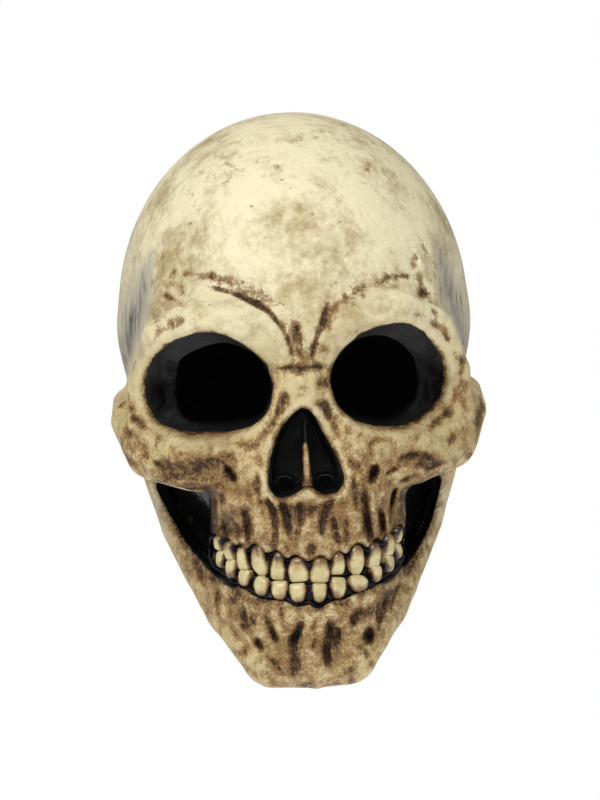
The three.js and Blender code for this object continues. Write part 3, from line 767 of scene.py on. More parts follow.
CREAM = (0.83, 0.75, 0.50, 1)
BONE = (0.56, 0.445, 0.22, 1)
TAN = (0.40, 0.30, 0.14, 1)
OCHRE = (0.23, 0.118, 0.036, 1)
UMBER = (0.042, 0.016, 0.006, 1)
PALE = (0.50, 0.465, 0.36, 1)
SMOKE = (0.11, 0.105, 0.10, 1)
INK = (0.005, 0.005, 0.005, 1)


def bone_paint(name):
    """Cream latex: thinned brown paint in its hollows that also stands for painted shade there, a painted
    highlight on raised points, paler at the top and darker lower down as painted overhead light, grey smoke
    at the temples, black in the holes.
    """
    finish = Finish(name, Specular_IOR_Level=0.18, Coat_Roughness=0.3)
    stain_and_shade = finish.stored("stain_and_shade")
    hollow_paint_and_shade = finish.stored("hollow")
    smoke = finish.stored("smoke")
    ink = finish.stored("ink")
    ridge_highlight = finish.stored("ridge_highlight")
    cloud = finish.noise(24, 4, 0.55)
    patch = finish.noise(75, 5, 0.62, distortion=0.4)
    sponge = finish.noise(250, 5, 0.68)
    grain = finish.noise(900, 4, 0.72)
    streak = finish.noise(330, 4, 0.6, stretch=(1, 1, 0.22))
    height = Value(finish, finish.node("SeparateXYZ", inputs={"Vector": finish.place}).outputs["Z"])
    # paler cream at the top of the head and darker bone lower down: painted overhead light and the shade
    # below it
    lower_painted_shade = (height + (cloud - 0.5) * 0.08 + (sponge - 0.5) * 0.03).ramp(0.050, -0.020)
    colour = finish.blend(lower_painted_shade, CREAM, BONE)
    blotch = cloud * 0.9 + patch * 0.5 + (sponge - 0.5) * 0.45 + lower_painted_shade * 0.05
    colour = finish.blend(blotch.ramp(0.60, 0.96), colour, TAN)
    # paler cream on raised points: painted highlight
    colour = finish.blend(ridge_highlight * 0.75, colour, CREAM)
    wipe = (patch - 0.5) * 0.6 + (sponge - 0.5) * 1.5 + (grain - 0.5) * 1.5
    # thinned brown paint that gathers in hollows and grooves, together with painted shade there; it darkens
    # through ochre and umber to black
    soak_and_shade = stain_and_shade + hollow_paint_and_shade - ridge_highlight * 0.35
    wash_and_painted_shade = soak_and_shade + wipe * (soak_and_shade + 0.35) + lower_painted_shade * 0.04
    colour = finish.blend(wash_and_painted_shade.ramp(0.26, 0.72) * 0.85, colour, OCHRE)
    colour = finish.blend(wash_and_painted_shade.ramp(0.66, 1.20) * 0.95, colour, UMBER)
    colour = finish.blend((wash_and_painted_shade + (grain - 0.5) * 0.6).ramp(1.15, 1.9), colour, INK)
    speck = finish.spots(150).ramp(0.13, 0.06) * (patch - 0.5).ramp(0.02, 0.14)
    colour = finish.blend(speck * 0.8, colour, UMBER)
    haze = smoke + ((streak - 0.5) * 1.3 + (patch - 0.5) * 0.7) * smoke
    colour = finish.blend(haze.ramp(0.06, 0.6) * 0.85, colour, PALE)
    colour = finish.blend((haze + (grain - 0.5) * 0.25).ramp(0.45, 1.15) * 0.9, colour, SMOKE)
    colour = finish.blend(smoke.ramp(0.1, 0.5) * (streak - 0.5).ramp(0.10, 0.2) * 0.55, colour, UMBER)
    black = (ink + ((sponge - 0.5) * 1.2 + (grain - 0.5) * 0.9) * (1.15 - ink) * ink).ramp(0.3, 0.65)
    colour = finish.blend(black, colour, INK)
    rough = finish.bump(patch * 0.8 - sponge * 1.1 - wash_and_painted_shade.ramp(0.3, 1.2) * 0.35, 0.0015, 0.8)
    return finish.cover(Base_Color=colour, Roughness=black * -0.04 + (0.52 + (sponge - 0.5) * 0.5),
                        Coat_Weight=wash_and_painted_shade.ramp(0.7, 1.3) * 0.12 + 0.02,
                        Normal=finish.bump(grain, 0.0005, 0.7, rough))


# what the painter did, seen from the front, and the painted shade in the grooves and creases, under the
# cheekbones and on the lower face
stain_and_shade = Sheet()
# darker in the grooves and creases, from the relief and along the listed grooves: brown paint gathered there,
# and painted shade
worn = blurred(relief.values, 1)
broken = np.clip(0.75 + 0.38 * lumps(3) + 0.22 * lumps(1), 0.1, 1.5)
stain_and_shade.values += broken * np.clip((blurred(relief.values, 3) - worn) * 1.5, 0, 1.1)
stain_and_shade.values += np.clip((blurred(relief.values, 10) - worn) * 0.26, 0, 0.6)
for points, width, depth in UPPER_GROOVES + JAW_GOUGES:
    stain_and_shade.stroke(points, width * 2.6, 0.11 * depth).stroke(points, width * 0.8, 0.16 * depth)
# dark patches: brown stain, and under the cheekbones a painted shadow below their overhang
stain_and_shade.dabs(
    (-30, -52, 9, 13, 0.22), (8, -58, 12, 8, 0.26), (28, -50, 8, 12, 0.20), (-9, -58, 6, 9, 0.20),
    (40, -52, 5, 10, 0.24), (-39, -56, 4, 10, 0.20), (-33, -60, 7, 6, 0.22), (24, -44, 4, 9, 0.18),
    (-54, -37, 13, 6, 0.80), (-40, -32, 7, 4, 0.30), (-45, -45, 8, 3.5, 0.42), (48, -36, 9, 5, 0.42),
    (56, -41, 9, 4, 0.18), (76, -28, 6, 10, 0.06), (-78, -26, 6, 11, 0.26), (-34, -38, 4.5, 4.5, 0.35),
    (31, -40.5, 4.5, 5.5, 0.34), (-23, -115, 3.5, 4, 0.3), (27, -113, 4, 5, 0.4),
    (-7, -117, 5, 12, 0.30), (9.5, -115, 6, 12, 0.34), (21, -103, 6, 5, 0.28), (-20, -105, 5, 9, 0.20),
    (-31, -101, 6, 10, 0.42), (34, -101, 7, 10, 0.42), (20, -117, 9, 6, 0.14), (-14, -126, 12, 5, 0.2),
    (0, -135, 24, 5, 0.25), (-52, -80, 6, 12, 0.22), (50, -80, 6, 12, 0.24), (-36, 50, 12, 5, 0.10),
    (-18, 41, 8, 5, 0.24), (-61, 42, 6, 7, 0.22), (-47, 33, 5, 3, 0.12),
)
for points, width, depth in BROW_CREASES:
    stain_and_shade.stroke(points, width * 3.2, 0.10 * depth).stroke(points, width, 0.10 * depth)
stain_and_shade.dabs(
    (0, 10, 8, 6, 0.42), (-2, 24, 4, 9, 0.22), (14, 30, 5, 6, 0.14), (10, 16, 3, 6, 0.14),
)
# the lower face darker than the brow and forehead: painted shade under the overhead light
stain_and_shade.values += 0.23 * step(-SHEET_Z, -20, 15)[None, :]
stain_and_shade.dabs(
    (60, 36, 8, 9, 0.22), (60, 56, 8, 12, 0.12), (30, 52, 16, 6, 0.10), (-28, 100, 15, 7, 0.24),
    (16, 116, 16, 6, 0.20), (-48, 88, 10, 9, 0.16), (38, 96, 14, 12, 0.12), (20, 80, 18, 12, 0.10),
    (0, 62, 26, 16, -0.14), (-10, 30, 60, 10, 0.04), (-14, -14, 4, 10, 0.30), (16, -12, 4, 10, 0.28),
    (-12, 4, 3, 8, 0.3), (12.5, 5, 3, 8, 0.3), (-20, -34, 4, 9, 0.16), (22, -32, 4, 9, 0.18),
    (-2, -52, 12, 3, 0.24),
)
for socket in (left_socket, right_socket):
    stain_and_shade.values += 0.55 * np.exp(-(((socket.values + 0.6) / 1.5) ** 2))
stain_and_shade.values += 0.35 * np.exp(-(((nose_hole.values - 0.2) / 1.3) ** 2))
# darker along the edge of the mouth
lip_edge_dark = 0.55 * np.exp(-((mouth.values / 1.3) ** 2))
stain_and_shade.values += lip_edge_dark + 0.20 * np.exp(-(((mouth.values - 4) / 3.5) ** 2))
for cheek in (left_hollow, right_hollow):
    stain_and_shade.values += 0.75 * np.exp(-(((cheek.values - 1.2) / 2.4) ** 2))
smoke = Sheet()
smoke.stroke([(-66, 62), (-72, 44), (-77, 27), (-82, 12), (-86, 0)], 6.5, 0.75, mirror=True)
smoke.stroke([(-78, 84), (-86, 54), (-90, 20), (-92, -4)], 14, 0.42, mirror=True)
smoke.dab((-70, -62), (9, 26), 0.34, mirror=True).dab((-60, -92), (9, 14), 0.26, mirror=True)
smoke.dab((80, 22), (10, 26), -0.16).dab((-66, 92), (14, 18), 0.12, mirror=True).dab((0, 126), (40, 9), 0.10)
ink = Sheet()
ink.values += 1.2 * (nose_hole.values < -0.6)
ink.values += 1.2 * (np.minimum(left_hollow.values, right_hollow.values) < 0.6)
ink.values += 1.1 * (mouth.values < -0.1)
ink.stroke([(-42, -72), (-43, -80), (-39, -86), (-33, -90)], 1.3, 0.9, taper=False)
ink.stroke([(45, -72), (45, -80), (41, -86.5), (34, -90)], 1.3, 0.9, taper=False)
ink.stroke([(-66, -56), (-60, -68), (-50, -80), (-43, -86)], 1.0, 0.6)
ink.stroke([(64, -56), (59, -67), (52, -78), (45, -85)], 0.9, 0.6)
for points, width, depth in UPPER_GROOVES[:8]:
    ink.stroke(points, width * 0.7, 0.07 * depth)
for socket in (left_socket, right_socket):
    ink.values += 1.2 * step(-socket.values, -0.6, 1.6)
ink.values = blurred(ink.values, 1)

at_points = places(face)
depth_in = face_lattice.sample(face_form, at_points)
px, py, pz = at_points.T
solid_share = np.clip(0.5 - carved / 2, 0, 1)
near_share = face_lattice.sample(blurred(solid_share, 2), at_points)
far_share = face_lattice.sample(blurred(solid_share, 7), at_points)
seen_in_front = (1 - step(py, -45, -15)) * step(face_lattice.sample(facing, at_points), 0.05, 0.3)
in_socket = np.minimum(left_socket.at(px, pz), right_socket.at(px, pz)) < 1.5
in_hole = in_socket | (nose_hole.at(px, pz) < 0)
inner = step(-face_lattice.sample(carved, at_points), 0.9, 1.8)
black_depth = np.maximum(inner, in_hole * step(-depth_in, 0.4, 1.6))
# the hollow value darkens the hollows: brown paint gathered there, and painted shade
give(face, "hollow", (near_share - 0.54) * 2.0 + (far_share - 0.52) * 0.8)
# paler on the raised points of the lower face: painted highlight
give(face, "ridge_highlight", (0.47 - near_share) * 3.0 * step(-pz, -60, -10))
# brown stains together with painted shade, from the front view
give(face, "stain_and_shade", seen_in_front * stain_and_shade.at(px, pz) + 0.10)
give(face, "smoke", smoke.at(px, pz) * (1 - 0.5 * step(py, -10, 20)))
give(face, "ink", black_depth + seen_in_front * ink.at(px, pz))
face.data.materials.append(bone_paint("painted_latex"))
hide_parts("face_skin")
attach(face, "head_shell")

# ------------------------------------------------------------------------------------------------
# The back of the head: two latex halves that meet in a glued seam over the crown and part at a slit
# below it. The lower part of each folds outwards to let the head in. A round hole ends the slit.
# ------------------------------------------------------------------------------------------------
SLIT_TOP_Z = 8.0
SLIT_HALF_WIDTH = 0.3
RELIEF_RADIUS = 6.0

rear_lattice = Lattice((-92, PARTING_Y - 4, -84), (92, 128, 135), 1.2)
x, y, z = rear_lattice.at
rear_form = face_mass(rear_lattice.at)
grain = blurred(chance.standard_normal(rear_form.shape), 7)
uneven = rear_form + 0.28 * grain / grain.std()
ridge_z = 26 - 0.006 * x * x
uneven = uneven - 1.1 * np.exp(-(((z - ridge_z) / 7) ** 2)) * step(y, 85, 105)
uneven = uneven + 0.5 * np.exp(-((x / 2.2) ** 2)) * step(z, SLIT_TOP_Z, SLIT_TOP_Z + 10)
shell = np.maximum(uneven, -(rear_form + WALL))
shell = soft_cut(shell, y - PARTING_Y - SEAM, EASED)
shell = soft_cut(shell, z - RIM_Z, EASED)
hole = np.maximum(np.hypot(x, z - SLIT_TOP_Z) - RELIEF_RADIUS, 60 - y)
shell = soft_cut(shell, hole, 1.0)
solid_share = np.clip(0.5 - uneven / 2.8, 0, 1)
near_share = blurred(solid_share, 2)
for word, sign in (("left", 1), ("right", -1)):
    gap = SEAM + (SLIT_HALF_WIDTH - SEAM) * step(-z, -SLIT_TOP_Z - 2, -SLIT_TOP_Z + 2)
    half = rear_lattice.skin_over(f"rear_{word}_half", soft_cut(shell, sign * x - gap, EASED), most=140000)
    spots = places(half)
    depth_in = rear_lattice.sample(rear_form, spots)
    px, py, pz = spots.T
    # the hollow value darkens the hollows: brown paint gathered there, and painted shade
    give(half, "hollow", (rear_lattice.sample(near_share, spots) - 0.5) * 2.2)
    beside_slit = np.exp(-((px / 5) ** 2)) * step(pz, 20, 0) + 0.5 * np.exp(-(((pz - RIM_Z) / 7) ** 2))
    ridge_stain = 0.25 * np.exp(-(((pz - 12) / 12) ** 2)) * step(py, 80, 100)
    give(half, "stain_and_shade", 0.14 + 0.45 * beside_slit + ridge_stain)
    temple_smoke = 0.75 * np.exp(-(((py - PARTING_Y) / 26) ** 2) - ((pz - 34) / 34) ** 2)
    give(half, "smoke", temple_smoke + 0.3 * step(pz, -20, -75))
    give(half, "ink", 1.0 * (depth_in < -2.0))
    half.data.materials.append(face.data.materials[0])
    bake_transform(half)
    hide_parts(f"{word}_rear_flap", "rear_skin")

# ------------------------------------------------------------------------------------------------
# The septum of the nose: a thin pale ridge of latex that stands in the black pocket of the nose and
# widens at its foot.
# ------------------------------------------------------------------------------------------------
SEPTUM_BACK_Y = -83.6

nose_lattice = Lattice((-9, -102, -52), (11, -80, -14), 0.4)
x, y, z = nose_lattice.at
ridge = [(0.7, -86, -19, 0.5), (0.9, -92, -24, 0.9), (1.2, -95, -32, 1.3), (1.4, -96, -40, 1.9),
         (1.4, -95, -46, 2.8)]
bone = roll(nose_lattice.at, ridge)
fin = np.maximum(np.abs(x - 1.1) - 0.7 - 0.06 * np.maximum(y + 96, 0), np.maximum(-96 - y, y - SEPTUM_BACK_Y))
fin = np.maximum(fin, np.maximum(z + 20 + 0.5 * (y + 84), -47 - z))
bone = soft_join(bone, fin, 1.5)
grain = blurred(chance.standard_normal(bone.shape), 2)
bone = np.maximum(bone + 0.12 * grain / grain.std(), y - SEPTUM_BACK_Y)
septum = nose_lattice.skin_over("septum_ridge", bone)
px, py, pz = places(septum).T
give(septum, "hollow", np.full_like(px, 0.1))
# the flanks of the ridge darker than its pale middle: painted shade on its sides
flanks = 0.2 + 0.8 * step(np.abs(px - 1.2), 0.6, 1.9)
give(septum, "stain_and_shade", flanks + 0.5 * step(pz, -36, -24) + 0.4 * step(-pz, 39, 45))
give(septum, "smoke", np.zeros_like(px))
give(septum, "ink", step(py, -95.0, -91.5) + 0.9 * step(pz, -30, -22))
septum.data.materials.append(face.data.materials[0])
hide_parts("nasal_septum")
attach(septum, "head_shell")

# ------------------------------------------------------------------------------------------------
# The dishes behind the cheek hollows: black latex pans, glossy inside, glued behind the openings in
# the face.
# ------------------------------------------------------------------------------------------------
DISH_DEPTH = 9.0
DISH_WALL = 1.8


def black_paint(name, gloss=0.2, marks=0.0, coat=0.3):
    """Black paint over brushed latex, dusty where it has rubbed."""
    finish = Finish(name, Specular_IOR_Level=0.18, Coat_Roughness=0.12)
    brushed = finish.noise(90, 4, 0.6, stretch=(1, 1, 0.4))
    fine = finish.noise(520, 3, 0.6)
    rubbed = (brushed + (fine - 0.5) * 0.6).ramp(0.60, 0.82)
    colour = finish.blend(rubbed * marks, INK, (0.05, 0.036, 0.022, 1))
    low = finish.bump(brushed, 0.0022, 0.6)
    return finish.cover(Base_Color=colour, Roughness=rubbed * 0.2 + gloss,
                        Coat_Weight=coat - rubbed * coat * 0.8, Normal=finish.bump(fine, 0.0003, 0.4, low))


cheek_black = black_paint("cheek_black", marks=0.7)
for word, sign, opening in (("left", 1, left_hollow), ("right", -1, right_hollow)):
    reach = (36, 74) if sign > 0 else (-74, -34)
    lattice = Lattice((reach[0], -98, -92), (reach[1], -14, -38), 0.9)
    x, y, z = lattice.at
    form = face_mass(lattice.at)
    edge = opening.at(x, z)
    pan = np.maximum(np.maximum(form + WALL + 0.4, -(form + DISH_DEPTH + DISH_WALL)), edge - DISH_WALL - 0.6)
    pan = np.maximum(pan, -np.maximum(edge + 0.2, -(form + DISH_DEPTH)))
    pan = np.maximum(pan, y + 18)
    dish = lattice.skin_over(f"{word}_cheek_dish", pan)
    dish.data.materials.append(cheek_black)
    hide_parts(f"{word}_cheek_panel")
    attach(dish, "head_shell")

# ------------------------------------------------------------------------------------------------
# The gums: an upper and a lower tray of black latex that fill the mouth from behind. They are brushed
# on thick, swell into a bead along the lips, and hold the roots of the teeth.
# ------------------------------------------------------------------------------------------------
GUM_HALF_WIDTH = 47
GUM_BEHIND_TEETH = 3.2
GUM_WALL = 3.4
GUM_LAP = 2.0  # how far the back of the lower tray stands up behind the upper one
GUM_FLANGE = 4.0  # how far each tray is glued to the face behind the lips
BITE_Z = -88.0  # where the two rows meet at the front
BITE_RISE = 15.0
BITE_GAP = 0.15  # half of the gap between the trays


def bite_line(x):
    return BITE_Z + BITE_RISE * (x / ARCH_HALF[0]) ** 2


gum_lattice = Lattice((-48, -110, -102), (48, -60, -62), 0.6)
x, y, z = gum_lattice.at
around = np.sqrt((x / GUM_HALF_WIDTH) ** 2 + ((y - ARCH_CENTRE_Y) / ARCH_HALF[1]) ** 2)
around = (around - 1) * ARCH_HALF[1]
edge = mouth.at(x, z)
knobs = blurred(chance.standard_normal(np.broadcast_shapes(around.shape, z.shape)), 2)
swell = 2.2 * np.exp(-(((edge + 0.4) / 1.6) ** 2)) + 0.8 * knobs / knobs.std()
gum = np.maximum(around + GUM_BEHIND_TEETH - swell, -(around + GUM_BEHIND_TEETH + GUM_WALL))
gum = np.maximum(gum, edge + 0.4)
behind_lip = np.abs(face_mass(gum_lattice.at) + WALL + 1.3) - 0.9
gum = np.minimum(gum, np.maximum(behind_lip, edge - GUM_FLANGE))
gum = np.maximum(gum, y - ARCH_CENTRE_Y - 3)
lap = GUM_LAP * step(-(around + GUM_BEHIND_TEETH + GUM_WALL / 2), -0.6, 0.6)
gum_black = black_paint("gum_black", gloss=0.42, marks=0.2, coat=0.06)
for word, sign in (("upper", 1), ("lower", -1)):
    past_bite = BITE_GAP - sign * (z - bite_line(x) - lap)
    tray = gum_lattice.skin_over(f"{word}_gum", np.maximum(gum, past_bite), most=60000)
    tray.data.materials.append(gum_black)
    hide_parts(f"{word}_bed")
    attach(tray, "head_shell")

# ------------------------------------------------------------------------------------------------
# The teeth: twelve above and twelve below, in cream latex, set in the gums. Each row is one run of
# stations along the jaw, and a crown of the right form stands at each with its own width and height.
# ------------------------------------------------------------------------------------------------
INCISOR, CANINE, MOLAR = 0, 1, 2
CROWN_DEPTH = 6.4
# middle x, middle z, width and height of each tooth, from the wearer's right to the left
UPPER_ROW = [(-39.9, -69.8, 6.2, 7.5), (-35.2, -73.0, 6.4, 9.4), (-29.3, -75.9, 6.3, 11.0),
             (-22.0, -77.0, 8.0, 14.0), (-13.5, -79.4, 6.6, 12.6), (-4.5, -81.2, 9.2, 11.8),
             (5.5, -81.7, 9.1, 11.6), (13.7, -79.3, 6.6, 10.2), (22.2, -78.4, 8.2, 13.8),
             (30.6, -77.0, 7.2, 12.2), (37.8, -73.2, 7.8, 10.4), (42.6, -69.4, 6.4, 7.6)]
LOWER_ROW = [(-39.2, -77.2, 6.0, 8.0), (-34.6, -81.4, 6.6, 9.0), (-28.6, -85.0, 7.0, 7.6),
             (-21.2, -88.4, 7.9, 9.0), (-13.2, -90.4, 8.1, 8.6), (-4.9, -91.7, 8.0, 9.2),
             (4.9, -92.0, 7.2, 9.2), (13.4, -90.3, 7.8, 9.6), (23.0, -88.9, 9.8, 8.4),
             (31.2, -85.4, 6.4, 8.2), (37.4, -81.6, 7.4, 8.0), (42.4, -76.9, 6.0, 7.6)]
FORMS = [MOLAR, MOLAR, MOLAR, CANINE, INCISOR, INCISOR, INCISOR, INCISOR, CANINE, MOLAR, MOLAR, MOLAR]
AROUND, DOWN = ((36, 26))


def crown(name, form):
    """One tooth, a unit wide, deep and high, root up: rounded at the gum, worn at the biting edge."""
    t = np.sin(np.linspace(-np.pi / 2, np.pi / 2, DOWN + 2))[1:-1]
    turn = np.arange(AROUND) * 2 * np.pi / AROUND
    squarish = 0.72
    across = np.sign(np.cos(turn)) * np.abs(np.cos(turn)) ** squarish
    deep = np.sign(np.sin(turn)) * np.abs(np.sin(turn)) ** squarish
    root = np.clip(t, 0, 1)
    bite = np.clip(-t, 0, 1)
    wide = (1 - root**2.6) ** 0.55 * (1 - bite**9) ** 0.3
    wide = wide * (1.02 - 0.12 * root - (0.62 if form == CANINE else 0.04) * bite**2)
    thick = (1 - root**4) ** 0.5 * (1 - bite**6) ** 0.5 * (1 - (0.25 if form == MOLAR else 0.55) * bite**1.5)
    points = [(0.06 if form == CANINE else 0.0, 0, -0.5)]
    for w, d, level in zip(wide, thick, t):
        lean = 0.10 * max(-level, 0) ** 2 if form == CANINE else 0.0
        for a, b in zip(across, deep):
            bulge = 0.08 * (1 - level * level) if b < 0 else 0.0
            cusp = 0.035 * math.cos(2 * math.pi * a) * max(-level, 0) ** 6 if form == MOLAR else 0.0
            swell = bulge * (1 - a * a)
            points.append((0.5 * w * a + lean, (0.5 - swell) * d * b - swell, 0.5 * level + cusp))
    points.append((0, 0, 0.5))
    last = len(points) - 1
    faces = [(0, 1 + (i + 1) % AROUND, 1 + i) for i in range(AROUND)]
    for row in range(DOWN - 1):
        base = 1 + row * AROUND
        for i in range(AROUND):
            j = (i + 1) % AROUND
            faces.append((base + i, base + j, base + AROUND + j, base + AROUND + i))
    base = 1 + (DOWN - 1) * AROUND
    faces += [(last, base + i, base + (i + 1) % AROUND) for i in range(AROUND)]
    mesh = bpy.data.meshes.new(name)
    mesh.from_pydata([tuple(c * MM for c in p) for p in points], [], faces)
    p = np.array(points)
    at_root = np.clip(p[:, 2] + 0.5, 0, 1)
    at_side = np.abs(p[:, 0]) * 2
    for word, values in (("root", at_root), ("flank", at_side)):
        mesh.attributes.new(word, "FLOAT", "POINT").data.foreach_set("value", values.astype(np.float32))
    mesh.shade_smooth()
    piece = bpy.data.objects.new(name, mesh)
    scene.collection.objects.link(piece)
    return piece


def row_of_crowns():
    """Geometry Nodes: a crown of the right form on each station, leaned and sized as it says."""
    tree = bpy.data.node_groups.new("row_of_crowns", "GeometryNodeTree")
    side = tree.interface
    side.new_socket("Geometry", in_out="INPUT", socket_type="NodeSocketGeometry")
    for word in ("Incisor", "Canine", "Molar"):
        side.new_socket(word, in_out="INPUT", socket_type="NodeSocketObject")
    for word, value in (("Depth", CROWN_DEPTH), ("Crook", 0.1), ("Unevenness", 0.05)):
        side.new_socket(word, in_out="INPUT", socket_type="NodeSocketFloat").default_value = value
    side.new_socket("Seed", in_out="INPUT", socket_type="NodeSocketInt").default_value = 3
    side.new_socket("Enamel", in_out="INPUT", socket_type="NodeSocketMaterial")
    side.new_socket("Geometry", in_out="OUTPUT", socket_type="NodeSocketGeometry")

    def node(kind, settings=None, inputs=None):
        made = tree.nodes.new(kind)
        for key, value in (settings or {}).items():
            setattr(made, key, value)
        for key, value in (inputs or {}).items():
            if isinstance(value, bpy.types.NodeSocket):
                tree.links.new(value, made.inputs[key])
            else:
                made.inputs[key].default_value = value
        return made

    def named(word, kind="FLOAT_VECTOR"):
        made = node("GeometryNodeInputNamedAttribute", {"data_type": kind}, {"Name": word})
        return made.outputs["Attribute"]

    into = node("NodeGroupInput").outputs
    least = node("ShaderNodeMath", {"operation": "MULTIPLY"}, {0: into["Crook"], 1: -1.0}).outputs[0]
    small = node("ShaderNodeMath", {"operation": "SUBTRACT"}, {0: 1.0, 1: into["Unevenness"]}).outputs[0]
    large = node("ShaderNodeMath", {"operation": "ADD"}, {0: 1.0, 1: into["Unevenness"]}).outputs[0]
    crooked = node("FunctionNodeRandomValue", {"data_type": "FLOAT_VECTOR"},
                   {"Min": least, "Max": into["Crook"], "Seed": into["Seed"]}).outputs[0]
    uneven = node("FunctionNodeRandomValue", {"data_type": "FLOAT_VECTOR"},
                  {"Min": small, "Max": large, "Seed": into["Seed"]}).outputs[0]
    turn = node("ShaderNodeVectorMath", {"operation": "ADD"}, {0: named("turn"), 1: crooked}).outputs[0]
    deep = node("ShaderNodeCombineXYZ", inputs={"X": 1.0, "Y": into["Depth"], "Z": 1.0}).outputs[0]
    size = node("ShaderNodeVectorMath", {"operation": "MULTIPLY"}, {0: named("size"), 1: uneven}).outputs[0]
    size = node("ShaderNodeVectorMath", {"operation": "MULTIPLY"}, {0: size, 1: deep}).outputs[0]
    joined = node("GeometryNodeJoinGeometry")
    for kind, word in ((INCISOR, "Incisor"), (CANINE, "Canine"), (MOLAR, "Molar")):
        chosen = node("FunctionNodeCompare", {"data_type": "INT", "operation": "EQUAL"},
                      {2: named("form", "INT"), 3: kind}).outputs[0]
        shape = node("GeometryNodeObjectInfo", inputs={"Object": into[word]}).outputs["Geometry"]
        inputs = {"Points": into["Geometry"], "Selection": chosen, "Instance": shape, "Rotation": turn,
                  "Scale": size}
        placed = node("GeometryNodeInstanceOnPoints", inputs=inputs)
        tree.links.new(placed.outputs[0], joined.inputs[0])
    solid = node("GeometryNodeRealizeInstances", inputs={"Geometry": joined.outputs[0]})
    coat = {"Geometry": solid.outputs[0], "Material": into["Enamel"]}
    painted = node("GeometryNodeSetMaterial", inputs=coat)
    tree.links.new(painted.outputs[0], node("NodeGroupOutput").inputs[0])
    return tree


def enamel_paint():
    """Cream paint, browner and then black towards the gum and down the sides, where thinned brown paint
    gathered and where the black outlines stand for painted shade between the teeth and at the gum.
    """
    finish = Finish("tooth_cream", Specular_IOR_Level=0.5, Coat_Roughness=0.2)
    root = finish.stored("root")
    flank = finish.stored("flank")
    patch = finish.noise(190, 4, 0.6)
    grain = finish.noise(900, 4, 0.7)
    lines = finish.noise(500, 3, 0.5, stretch=(1, 1, 0.2))
    uneven = (patch - 0.5) * 0.9 + (grain - 0.5) * 0.5
    colour = finish.blend(patch.ramp(0.35, 0.7), (0.60, 0.515, 0.265, 1), (0.47, 0.38, 0.175, 1))
    # browner towards the gum and down the sides: gathered paint and painted shade
    tooth_paint_and_shade = root.ramp(0.35, 0.95) * 0.95 + flank.ramp(0.45, 1.0) * 0.85 + uneven * 1.3
    colour = finish.blend(tooth_paint_and_shade.ramp(0.2, 0.9) * 0.85, colour, OCHRE)
    colour = finish.blend((tooth_paint_and_shade + (lines - 0.5) * 0.5).ramp(0.6, 1.25), colour, UMBER)
    # black outlines at the gum and down the sides: painted shade between the teeth and at the gum, with dark
    # paint
    edge = root * 0.72 + flank.ramp(0.62, 0.98) * 0.46 + (grain - 0.5) * 0.25 + (patch - 0.5) * 0.4
    colour = finish.blend(edge.ramp(0.66, 0.90) * 0.97, colour, INK)
    speck = finish.spots(420).ramp(0.16, 0.06) * (patch - 0.5).ramp(0.05, 0.15)
    colour = finish.blend(speck * 0.7, colour, UMBER)
    low = finish.bump(patch * 0.7 + lines * 0.3, 0.0007, 0.5)
    return finish.cover(Base_Color=colour, Roughness=0.34 + (patch - 0.5) * 0.3,
                        Coat_Weight=0.2 + tooth_paint_and_shade.ramp(0.5, 1) * 0.3,
                        Normal=finish.bump(grain, 0.0002, 0.4, low))


crowns = [crown("incisor_form", INCISOR), crown("canine_form", CANINE), crown("molar_form", MOLAR)]
enamel = enamel_paint()
crown_rows = row_of_crowns()
TOOTH_FACE = 1.2  # how far the crowns stand out of the arch
TOOTH_LEAN = 0.06
ROW_HALF_WIDTH = 45.5
row_inputs = [item for item in crown_rows.interface.items_tree if item.in_out == "INPUT"]
socket_of = {item.name: item.identifier for item in row_inputs}
for word, row, over, seed in (("upper", UPPER_ROW, 0.0, 5), ("lower", LOWER_ROW, math.pi, 8)):
    stations, turns, sizes = [], [], []
    for cx, cz, width, height in row:
        across = min(abs(cx) / ROW_HALF_WIDTH, 0.995)
        out = math.sqrt(1 - across * across)
        normal = Vector((math.copysign(across, cx) / ROW_HALF_WIDTH, -out / ARCH_HALF[1], 0)).normalized()
        face_point = Vector((cx, ARCH_CENTRE_Y - ARCH_HALF[1] * out, cz)) + normal * TOOTH_FACE
        stations.append((face_point - normal * (CROWN_DEPTH / 2)) * MM)
        turns.append((TOOTH_LEAN, over, math.atan2(normal.x, -normal.y)))
        sizes.append((width, 1.0, height))
    mesh = bpy.data.meshes.new(f"{word}_stations")
    mesh.from_pydata([tuple(p) for p in stations], [], [])
    for name, values in (("turn", turns), ("size", sizes)):
        layer = mesh.attributes.new(name, "FLOAT_VECTOR", "POINT")
        layer.data.foreach_set("vector", np.array(values, np.float32).ravel())
    mesh.attributes.new("form", "INT", "POINT").data.foreach_set("value", FORMS)
    teeth = bpy.data.objects.new(f"{word}_teeth", mesh)
    scene.collection.objects.link(teeth)
    placed = teeth.modifiers.new("crowns", "NODES")
    placed.node_group = crown_rows
    for name, value in (("Incisor", crowns[0]), ("Canine", crowns[1]), ("Molar", crowns[2]), ("Seed", seed),
                        ("Enamel", enamel)):
        placed[socket_of[name]] = value
    solid = bpy.data.meshes.new_from_object(teeth.evaluated_get(bpy.context.evaluated_depsgraph_get()))
    teeth.modifiers.clear()
    teeth.data = solid
    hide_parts(*[f"{word}_{hand}_tooth_{n}" for hand in ("left", "right") for n in range(1, 7)])
    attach(teeth, "head_shell")
for form in crowns:
    bpy.data.objects.remove(form)

# ------------------------------------------------------------------------------------------------
# The fitting pads: five crowned ovals of charcoal open-cell foam, glued inside the skin at the
# forehead, the crown, the temples and the back.
# ------------------------------------------------------------------------------------------------
PAD_THICK = 10.6
PAD_CLEARANCE = 0.5
